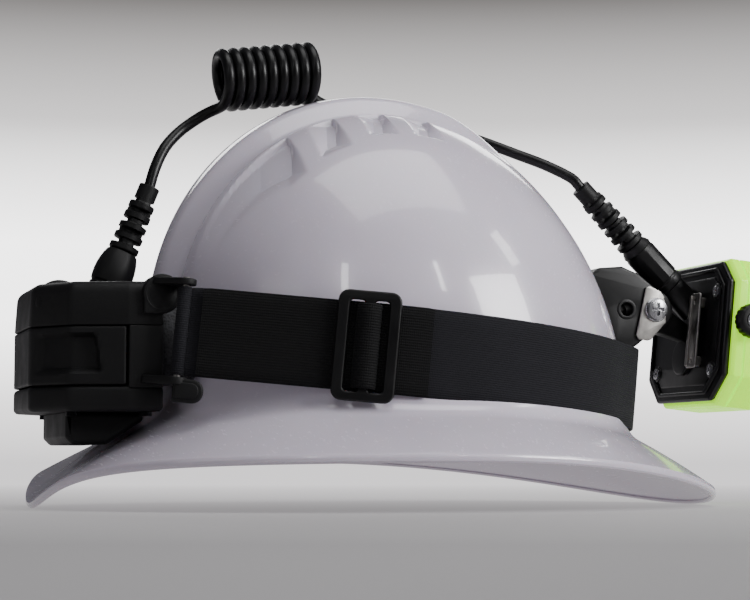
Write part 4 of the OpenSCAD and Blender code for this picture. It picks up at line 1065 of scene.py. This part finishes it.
def makeLampCover():
    screws = [(y * (lamp["width"] / 2 - 11), lamp["middle"] + z * (lamp["height"] / 2 - 15)) for y in (-1, 1)
              for z in (-1, 1)]
    x0, x1 = lamp["coverX"], lamp["coverX"] + lamp["coverThick"]
    parts = [roundedPlate(lampOutline(0), x0, x1, 1.2, (), 4),
             roundedPlate(lampOutline(-3.0), x0 - 1, x0 + 0.6, 0.45, [lampOutline(-4.8)], 3)]
    # a raised panel inside the border, lower where the clip lies, and a small raised pad for each screw
    parts.append(roundedPlate(lampOutline(-7.5, 9), x0 - 0.35, x0 + 0.5, 0.3, (), 2))
    for place in screws:
        parts.append(roundedPlate(circleOutline(4.2, 32, place), x0 - 0.7, x0 + 0.4, 0.3, (), 2))
    parts.append(roundedPlate(circleOutline(9.0, 48, (0, -20)), x0 - 3, x0 + 0.6, 0.9, (), 3))
    cover = joined(parts)
    # the hinge lug grows out of the cover and ends in a round eye on the pivot
    eye = [(8.5 * math.cos(a), 8.5 * math.sin(a)) for a in np.radians(np.arange(40, 263, 12.0))]
    lug = roundedOutline(eye + [(0, -8.5), (26, -13), (26, -5.2), (7, 4.9)], [0] * len(eye) + [0, 0.5, 0.5,
        3], 4)
    points, faces = roundedPlate(lug, -4, 4, 0.8, [circleOutline(2.6, 24)], 3)
    both = joined([(placed(outlineFrom(lampFrame), cover[0]), cover[1]), (placed(sideFrom(lampFrame), points),
                                                                          faces)])
    newPiece("lamp_back_cover", both[0], both[1], "lamp", materials["smooth"],
             ("lamp_rear_cover",), sharp=35)
    heads = []
    for y, z in screws:
        points, faces = reliefDisc(2.75, lambda a, b, r: 0.9 + 0.75 * math.sqrt(max(0.0, 1 - (r / 3.4) ** 2))
                                   - crossRecess(a, b, 1.7, 0.42, 0.8) + 0 * a, 0, 18, 48, 0.2)
        points = np.stack([x0 - points[:, 2] - 0.05, points[:, 0] + y, points[:, 1] + z], axis=1)
        heads.append((points, faces))
        stem, stemFaces = turned([(1.0, 0), (1.2, 0.3), (1.2, 9.0), (0.9, 9.4)], 20)
        heads.append((np.stack([x0 + stem[:, 2] - 0.6, stem[:, 0] + y, stem[:, 1] + z], axis=1), stemFaces))
    points, faces = joined(heads)
    newPiece("cover_pan_screws", placed(lampFrame, points), faces, "lamp", materials["screw"],
             ("cover_screws",), sharp=35)
    # the spare clip: a pressed steel strip with turned edges, on two feet
    strip = roundedOutline([(-19, -26), (-9, -26), (-9, 11), (-19, 11)], 1.6, 5)
    parts = [roundedPlate(strip, x0 - 4.2, x0 - 3.1, 0.35, [circleOutline(1.2, 20, (-14, -22.5)),
                                                            circleOutline(1.2, 20, (-14, 6.5))], 3)]
    rib = roundedOutline([(-11.2, -25), (-9.2, -25), (-9.2, 10), (-11.2, 10)], 0.7, 3)
    parts.append(roundedPlate(rib, x0 - 4.9, x0 - 3.6, 0.3, (), 3))
    for z in (-25, 4):
        foot = roundedOutline([(-17.5, z), (-10.5, z), (-10.5, z + 5), (-17.5, z + 5)], 1, 3)
        parts.append(roundedPlate(foot, x0 - 3.4, x0 - 0.1, 0.3, (), 2))
    points, faces = joined(parts)
    newPiece("cover_spare_clip", placed(outlineFrom(lampFrame), points), faces, "lamp",
             materials["steel"], ("cover_clip",), sharp=35)


def makeLampShell():
    # a tub with cut corners: full outline to near the front, then a broad chamfer to a smaller front face
    x0, x1 = lamp["shellX"], lamp["shellX"] + lamp["depth"]
    cut = lamp["corner"] + 2
    count = len(lampOutline(2, cut))

    def ringAt(x, grow):
        return np.column_stack([np.full(count, x), lampOutline(grow, max(cut + (grow - 2) * 0.3, 6), 2.2)])

    rings = [ringAt(x, grow) for x, grow in (
        (x0, -3.2), (x0, 0.8), (x0 + 0.5, 1.4), (x0 + 1.4, 1.95), (x0 + 1.9, 2), (x0 + 5.0, 2),
        (x0 + 5.4, 1.1), (x0 + 6.2, 1.1), (x0 + 6.6, 2), (x1 - 13.5, 2), (x1 - 12.4, 1.75), (x1 - 1.4, -6.4),
        (x1 - 0.5, -7.4), (x1, -8.4))]
    inner = [ringAt(x, grow) for x, grow in ((x1 - 2.4, -9.4), (x1 - 13.5, -0.8), (x0 + 4, -0.8), (x0, -3.2))]
    # front face: from the chamfer's edge to the round lens opening, and back in through it
    direction = np.arctan2(rings[-1][:, 2] - lamp["middle"], rings[-1][:, 1])
    for x, r in ((x1, lamp["lens"] + 1.2), (x1 - 0.4, lamp["lens"] + 0.4), (x1 - 2.4, lamp["lens"] + 0.3)):
        rings.append(np.stack([np.full(count, x), r * np.cos(direction), r * np.sin(direction)
                               + lamp["middle"]], axis=1))
    rings = np.array(rings + inner)
    faces = ringFaces(len(rings), count, wrapRows=False)
    faces += [[(len(rings) - 1) * count + k, (len(rings) - 1) * count + (k + 1) % count, (k + 1) % count, k]
              for k in range(count)]
    points = rings.reshape(-1, 3)
    newPiece("lamp_front_shell", placed(lampFrame, points), faces, "lamp", materials["lime"],
             ("lamp_shell",), sharp=28)
    ring, ringFacesList = turned([(lamp["lens"] - 2.4, x1 + 0.1), (lamp["lens"] + 2.6, x1 + 0.1),
                                  (lamp["lens"] + 3.6, x1 + 0.35), (lamp["lens"] + 3.9, x1 + 0.8),
                                  (lamp["lens"] + 2.8, x1 + 1.4), (lamp["lens"] - 1.2, x1 + 1.4),
                                  (lamp["lens"] - 2.4, x1 + 0.5)], 96)
    # the turned profile is closed to a ring by joining its first and last rows
    ring, ringFacesList = ring[:-2], ringFaces(7, 96, wrapRows=True)
    spun = np.stack([ring[:, 2], ring[:, 0], ring[:, 1] + lamp["middle"]], axis=1)
    newPiece("lens_retaining_ring", placed(lampFrame, spun), ringFacesList, "lamp",
             materials["satin"], ("lens_bezel",), sharp=35)


def makeSideKnob():
    face = lamp["width"] / 2 + 2
    count = 96
    profile = [(2.9, face - 6), (3.0, face - 5.6), (3.0, face + 0.4), (7.4, face + 0.45), (8.1, face + 1.0),
               (8.2, face + 1.8), (8.2, face + 4.8), (7.9, face + 5.6), (7.2, face + 6.4), (6.4, face + 6.8),
               (4.7, face + 6.8), (4.2, face + 6.4), (4.1, face + 5.6), (2.0, face + 5.55)]

    def grip(r, z, a):
        # eighteen narrow grooves, on the rim only
        return r - 0.45 * smooth(7.6, 8.1, r) * (0.5 + 0.5 * np.cos(18 * a)) ** 3

    points, faces = turned(profile, count, grip)
    knobFrame = upright(lamp["knobX"], 0, lamp["knobZ"], lampFrame)
    newPiece("switch_knob", placed(knobFrame, points), faces, "knob", materials["satin"],
             ("side_knob",), sharp=35)

    def capFace(x, y, r):
        slot = 0.55 * smooth(0.75, 0.45, np.abs(y)) * smooth(3.2, 2.7, np.abs(x))
        return face + 5.6 + 0.75 + 0.25 * math.sqrt(max(0.0, 1 - (r / 4) ** 2)) - slot

    points, faces = reliefDisc(3.85, capFace, face + 5.62, 26, 72, 0.2)
    newPiece("switch_knob_cap", placed(knobFrame, points), faces, "knob", materials["screw"],
             ("knob_cap",), sharp=35)


makeBracket()
makeLampCover()
makeLampShell()
makeSideKnob()
print("bracket and lamp made")

# Battery pack, its dock, arms and pads
housing = {"corner": 7, "scoopDepth": 4.2, "scoopLow": 4.6, "scoopHigh": 20.6,
           "scoopStart": 27.5, "scoopEnd": 62.5, "innerReach": 35.6, "humpRadius": 11, "columnDepth": 14.7,
           "doorStart": 15.3, "rearTurn": 14, "sideTurn": 38}


def packOutline():
    r, a, b, c = -pack["rear"], 24, 45, 54
    f = -pack["front"]
    turn, flank = r + housing["rearTurn"], r + housing["sideTurn"]
    full = [(r, -a), (turn, -b), (flank, -c), (f, -c - 2), (f, c + 2), (flank, c), (turn, b), (r, a)]
    return roundedOutline(full, [housing["corner"]] * 3 + [1.2, 1.2] + [housing["corner"]] * 3, 7)


def denseOutline(outline, step):
    # adds points so that no edge is longer than the step
    out = []
    for k in range(len(outline)):
        a, b = outline[k], outline[(k + 1) % len(outline)]
        count = max(1, int(np.linalg.norm(b - a) / step))
        out.extend([a + (b - a) * i / count for i in range(count)])
    return np.array(out)


def makeDoor():
    depthX = -pack["front"] - housing["doorStart"]
    r = -pack["rear"]
    turn, flank = r + housing["rearTurn"], r + housing["sideTurn"]
    outline = roundedOutline([(depthX, 35.2), (depthX, 53.9), (turn, 45), (r, 24), (r, -24),
                              (turn, -45), (depthX, -53.9), (depthX, -35.2), (-156.2, -34.6), (-156.2, 34.6)],
                              [0.8, 1.2, 7, 7, 7, 7, 1.2, 0.8, 2, 2], 7)
    outline = denseOutline(outline, 1.1)
    low, high = pack["bayZ"] + 0.3, pack["seamZ"] - 0.3
    edge = 0.9
    ends = [(edge * (1 - math.sin(t)), edge * (1 - math.cos(t))) for t in np.linspace(0, math.pi / 2, 4)]
    wall = np.linspace(low + edge, high - edge, 26)[1:-1]
    levels = [(i, low + w) for i, w in ends] + [(0, z) for z in wall]
    levels += [(i, high - w) for i, w in reversed(ends)]
    # distance along the outer wall from the middle of the rear, for the finger scoops on both sides
    length = np.concatenate([[0], np.cumsum(np.linalg.norm(np.diff(outline, axis=0), axis=1))])
    middle = int(np.argmin(np.abs(outline[:, 1]) + 1e3 * (outline[:, 0] > -160)))
    along = np.abs(length - length[middle])
    outer = outline[:, 0] < flank
    outer &= np.hypot(outline[:, 0] - flank, outline[:, 1]) > housing["innerReach"]
    rings = []
    for inset, z in levels:
        v = (z - low) / (high - low)
        start, end = housing["scoopStart"] + 1.5 * v, housing["scoopEnd"] - 3.5 * v
        mask = smooth(start, start + 3.5, along) * smooth(end + 2.2, end, along)
        mask = mask * smooth(housing["scoopLow"], housing["scoopLow"] + 3, z - low)
        mask = mask * smooth(housing["scoopHigh"] + 1.6, housing["scoopHigh"], z - low)
        slope = np.clip((along - start) / (end - start), 0, 1)
        scoop = housing["scoopDepth"] * mask * (0.45 + 0.55 * slope) * outer
        moved = insetOutline(outline, inset) + (insetOutline(outline, 1.0) - outline) * scoop[:, None]
        rings.append(np.column_stack([moved, np.full(len(moved), z)]))
    count = len(outline)
    points = np.vstack(rings)
    faces = ringFaces(len(levels), count)
    for start, ring in ((0, rings[0]), ((len(levels) - 1) * count, rings[-1])):
        for tri in geometry.tessellate_polygon([[Vector((p[0], p[1], 0)) for p in ring]]):
            faces.append([start + i for i in tri])
    newPiece("battery_bay_door", placed(hatFrame, points), faces, "battery",
             materials["housing"], ("battery_door",), sharp=38)


def pinEar(side, low, high, edge, bored=False):
    # a flat ear round one strap pin, with its root in the pack
    pin = strapStraight(strap["straight"], strap["thickness"] / 2, side)
    f = -pack["front"]
    around = [pin + 4.4 * np.array([math.cos(a), side * math.sin(a)])
              for a in np.radians(np.arange(-60, 151, 15.0))]
    root = [(f - 8, side * 57.3), (f - 8, side * 45), (f, side * 45), (f + 3, side * 50)]
    outline = roundedOutline(around + root, [0] * len(around) + [1] * len(root), 3)
    return roundedPlate(outline, low, high, edge, [circleOutline(1.6, 20, pin)] if bored else (), 3)


def makePack():
    f = -pack["front"]
    back = f - housing["columnDepth"]
    parts = [roundedPlate(packOutline(), pack["baseZ"], pack["bayZ"], 2.2, (), 4)]
    column = roundedOutline([(back, -54.6), (f, -56), (f, 56), (back, 54.6), (back, 50), (f - 2.2, 50),
                              (f - 2.2, -50), (back, -50)], [0.6, 1.4, 1.4, 0.6, 0.6, 0.6, 0.6, 0.6], 4)
    parts.append(roundedPlate(column, pack["bayZ"] - 1, pack["seamZ"], 0.5, (), 3))
    points, faces = joined(parts)
    newPiece("pack_lower_housing", placed(hatFrame, points), faces, "hat",
             materials["housing"], ("pack_base", "pack_bottom_cover"), sharp=38)
    # upper housing: a drafted body with a soft top edge, the hump, the side discs and the strap ears
    outline = packOutline()
    levels = [(0.5, pack["seamZ"] + 0.1), (0.12, pack["seamZ"] + 0.35), (0, pack["seamZ"] + 0.8)]
    top = pack["topZ"]
    for t in np.linspace(0, math.pi / 2, 8):
        levels.append((0.8 + 5.0 * (1 - math.cos(t)), top - 5.5 + 5.5 * math.sin(t)))
    rings = [np.column_stack([insetOutline(outline, i), np.full(len(outline), z)]) for i, z in levels]
    parts = [closedRings(np.array(rings))]
    r = housing["humpRadius"]
    hump = turned([(0.5, -30), (r - 4, -29.8), (r - 1.4, -28.6), (r - 0.3, -26.6), (r, -24), (r, 24),
                   (r - 0.3, 26.6), (r - 1.4, 28.6), (r - 4, 29.8), (0.5, 30)], 64)
    parts.append((np.stack([hump[0][:, 0] - pack["rear"] + 13, hump[0][:, 2], hump[0][:, 1] + top - 9],
                           axis=1), hump[1]))
    for side in (-1, 1):
        disc = turned([(0.4, 48), (8.2, 48.2), (8.5, 49), (8.5, 56.6), (8.1, 57.3), (7.2, 57.5), (6.6, 57.2),
                       (6.0, 57.2), (5.4, 57.45), (0.4, 57.5)], 64)
        parts.append((np.stack([disc[0][:, 0] + f - 1, disc[0][:, 2] * side, disc[0][:, 1] + 92.3], axis=1),
                      disc[1]))
        tab = roundedOutline([(f - 9, 83.5), (f + 0.6, 83.5), (f + 0.6, 96), (f - 9, 96)], 1.2, 3)
        points, faces = roundedPlate(tab, 54.5, 57.3, 0.8, (), 3)
        parts.append((np.stack([points[:, 0], points[:, 2] * side, points[:, 1]], axis=1), faces))
    body = joined(parts)
    edge = strap["width"] / 2
    ear = joined([pinEar(side, edge + 0.5, edge + 3.4, 0.7, True) for side in (-1, 1)])
    points, faces = joined([(placed(hatFrame, body[0]), body[1]), (placed(strapFrame, ear[0]), ear[1])])
    newPiece("pack_top_housing", points, faces, "hat", materials["housing"],
             ("pack_upper_housing",), sharp=38)
    # charging dock under the pack, open below for the charger's pins
    low = pack["baseZ"] - 14
    side = roundedOutline([(f - 38, pack["baseZ"]), (f - 38, low + 3), (f - 35, low), (f - 20, low),
                           (f - 4, pack["baseZ"] - 3.4), (f - 4, pack["baseZ"])], [0.5, 2, 2.5, 3, 2, 0.5], 5)
    points, faces = roundedPlate(side, -33, 33, 2.2, (), 4)
    newPiece("charging_dock_housing", placed(sideFrom(hatFrame), points), faces, "hat",
             materials["housing"], ("dock_housing",), sharp=38)


def makeSideArms():
    # lower ear of each strap pin, and the keeper tab that runs along the strap's lower edge
    low = -strap["width"] / 2
    pieces = []
    for side in (-1, 1):
        points, faces = pinEar(side, low - 4.2, low - 0.7, 0.6)
        pieces.append((placed(strapFrame, points), faces))
        tab = roundedOutline([(-80, -5), (-67, -5), (-67, 5), (-80, 5)], [0.8, 4.9, 4.9, 0.8], 8)
        lip = roundedOutline([(-79, -3.4), (-68.8, -3.4), (-68.8, 3.4), (-79, 3.4)], [0.8, 3.3, 3.3, 0.8], 8)
        for outline, near, far in ((tab, 0.6, 3.8), (lip, 3.4, 4.3)):
            points, faces = roundedPlate(outline, near, far, 0.7 if outline is tab else 0.4, (), 3)
            moved = np.stack([points[:, 0], points[:, 2], points[:, 1] + low - 6.4], axis=1)
            pieces.append((placed(tangentFrame(side), moved), faces))
    points, faces = joined(pieces)
    newPiece("pack_side_arms", points, faces, "hat", materials["housing"], ("side_arms",),
             sharp=38)


pads = {"bandInsetA": 18.4, "bandInsetB": 22.4, "bandWall": 1.6, "seat": 0.15, "browHalf": 60, "browZ": 37,
        "backInner": 18.3, "backOuter": 43.7, "backZ": 72, "backHalf": 17.8}


def makePads():
    # brow pad: a crowned, stitched strip inside the front of the headband
    a = hat["crownA"] - pads["bandInsetA"] - pads["bandWall"] - pads["seat"]
    b = hat["crownB"] - pads["bandInsetB"] - pads["bandWall"] - pads["seat"]
    degrees = np.linspace(-pads["browHalf"], pads["browHalf"], 61)
    t = np.radians(degrees)
    path = np.stack([6 + (a - 1.5) * np.cos(t), (b - 1.5) * np.sin(t)], axis=1)
    normals = pathNormals(path)
    rings = []
    for k, (p, n) in enumerate(zip(path, normals)):
        ends = math.sqrt(max(0.04, 1 - (abs(degrees[k]) / 60.5) ** 10))
        quilt = 0.16 * math.cos(degrees[k] * math.pi / 7.5)
        angle = np.arange(24) * 2 * math.pi / 24
        u = 1.42 * np.sign(np.cos(angle)) * np.abs(np.cos(angle)) ** 0.55 * (ends + quilt * 0.6)
        v = 12 * np.sign(np.sin(angle)) * np.abs(np.sin(angle)) ** 0.6 * ends
        rings.append(np.stack([p[0] + n[0] * u, p[1] + n[1] * u, pads["browZ"] + v], axis=1))
    points, faces = closedRings(np.array(rings))
    piece = newPiece("brow_sweat_pad", placed(hatFrame, points), faces, "hat", materials["pad"],
                     ("brow_pad",), sharp=60)
    # back pads between the pack and the crown: rounded blocks that follow the crown's curve
    parts = []
    for side in (-1, 1):
        ys = np.linspace(pads["backInner"], pads["backOuter"], 15)
        rows = []
        for y in ys:
            back = -pack["front"] + 0.2
            frontX = hat["crownX"] - (hat["crownA"] + 1) * math.sqrt(1 - (y / (hat["crownB"] + 1)) ** 2) - 0.6
            pull = math.sqrt(max(0.02, 1 - (abs(y - 31) / 12.9) ** 8))
            angle = np.arange(32) * 2 * math.pi / 32
            u = np.sign(np.cos(angle)) * np.abs(np.cos(angle)) ** 0.35
            v = np.sign(np.sin(angle)) * np.abs(np.sin(angle)) ** 0.45
            middle, half = (back + frontX) / 2, (frontX - back) / 2
            rows.append(np.stack([middle + half * u * (0.6 + 0.4 * pull), 0 * u + side * y,
                                  pads["backZ"] + pads["backHalf"] * v * pull], axis=1))
        parts.append(closedRings(np.array(rows)))
    points, faces = joined(parts)
    piece = newPiece("pack_back_pads", placed(hatFrame, points), faces, "hat", materials["pad"],
                     ("back_pads",), sharp=60)


makePack()
makeDoor()
makeSideArms()
makePads()
print("battery pack made")

# The solid model's own pieces that keep their shape take a finish each
finishes = {"headband": "grey", "nape_strap": "grey", "crown_straps": "web", "suspension_keys": "satin",
            "adjuster_housing": "satin", "adjuster_knob": "satin", "strap_pins": "steel",
            "pivot_nut": "screw", "lamp_gasket": "rubber", "lens": "lens", "reflector": "mirror",
            "led_module": "board", "heat_sink": "aluminium", "driver_board": "board", "switch_module": "grey",
            "charge_contacts": "brass", "bay_roof": "grey", "control_board": "board", "battery_tray": "grey",
            "battery_cells": "wrap", "battery_contacts": "brass", "pack_screws": "blackScrew"}
for name, finish in finishes.items():
    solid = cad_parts[name]
    for place in solid.material_slots:
        place.material = materials[finish]
print("finishes set")
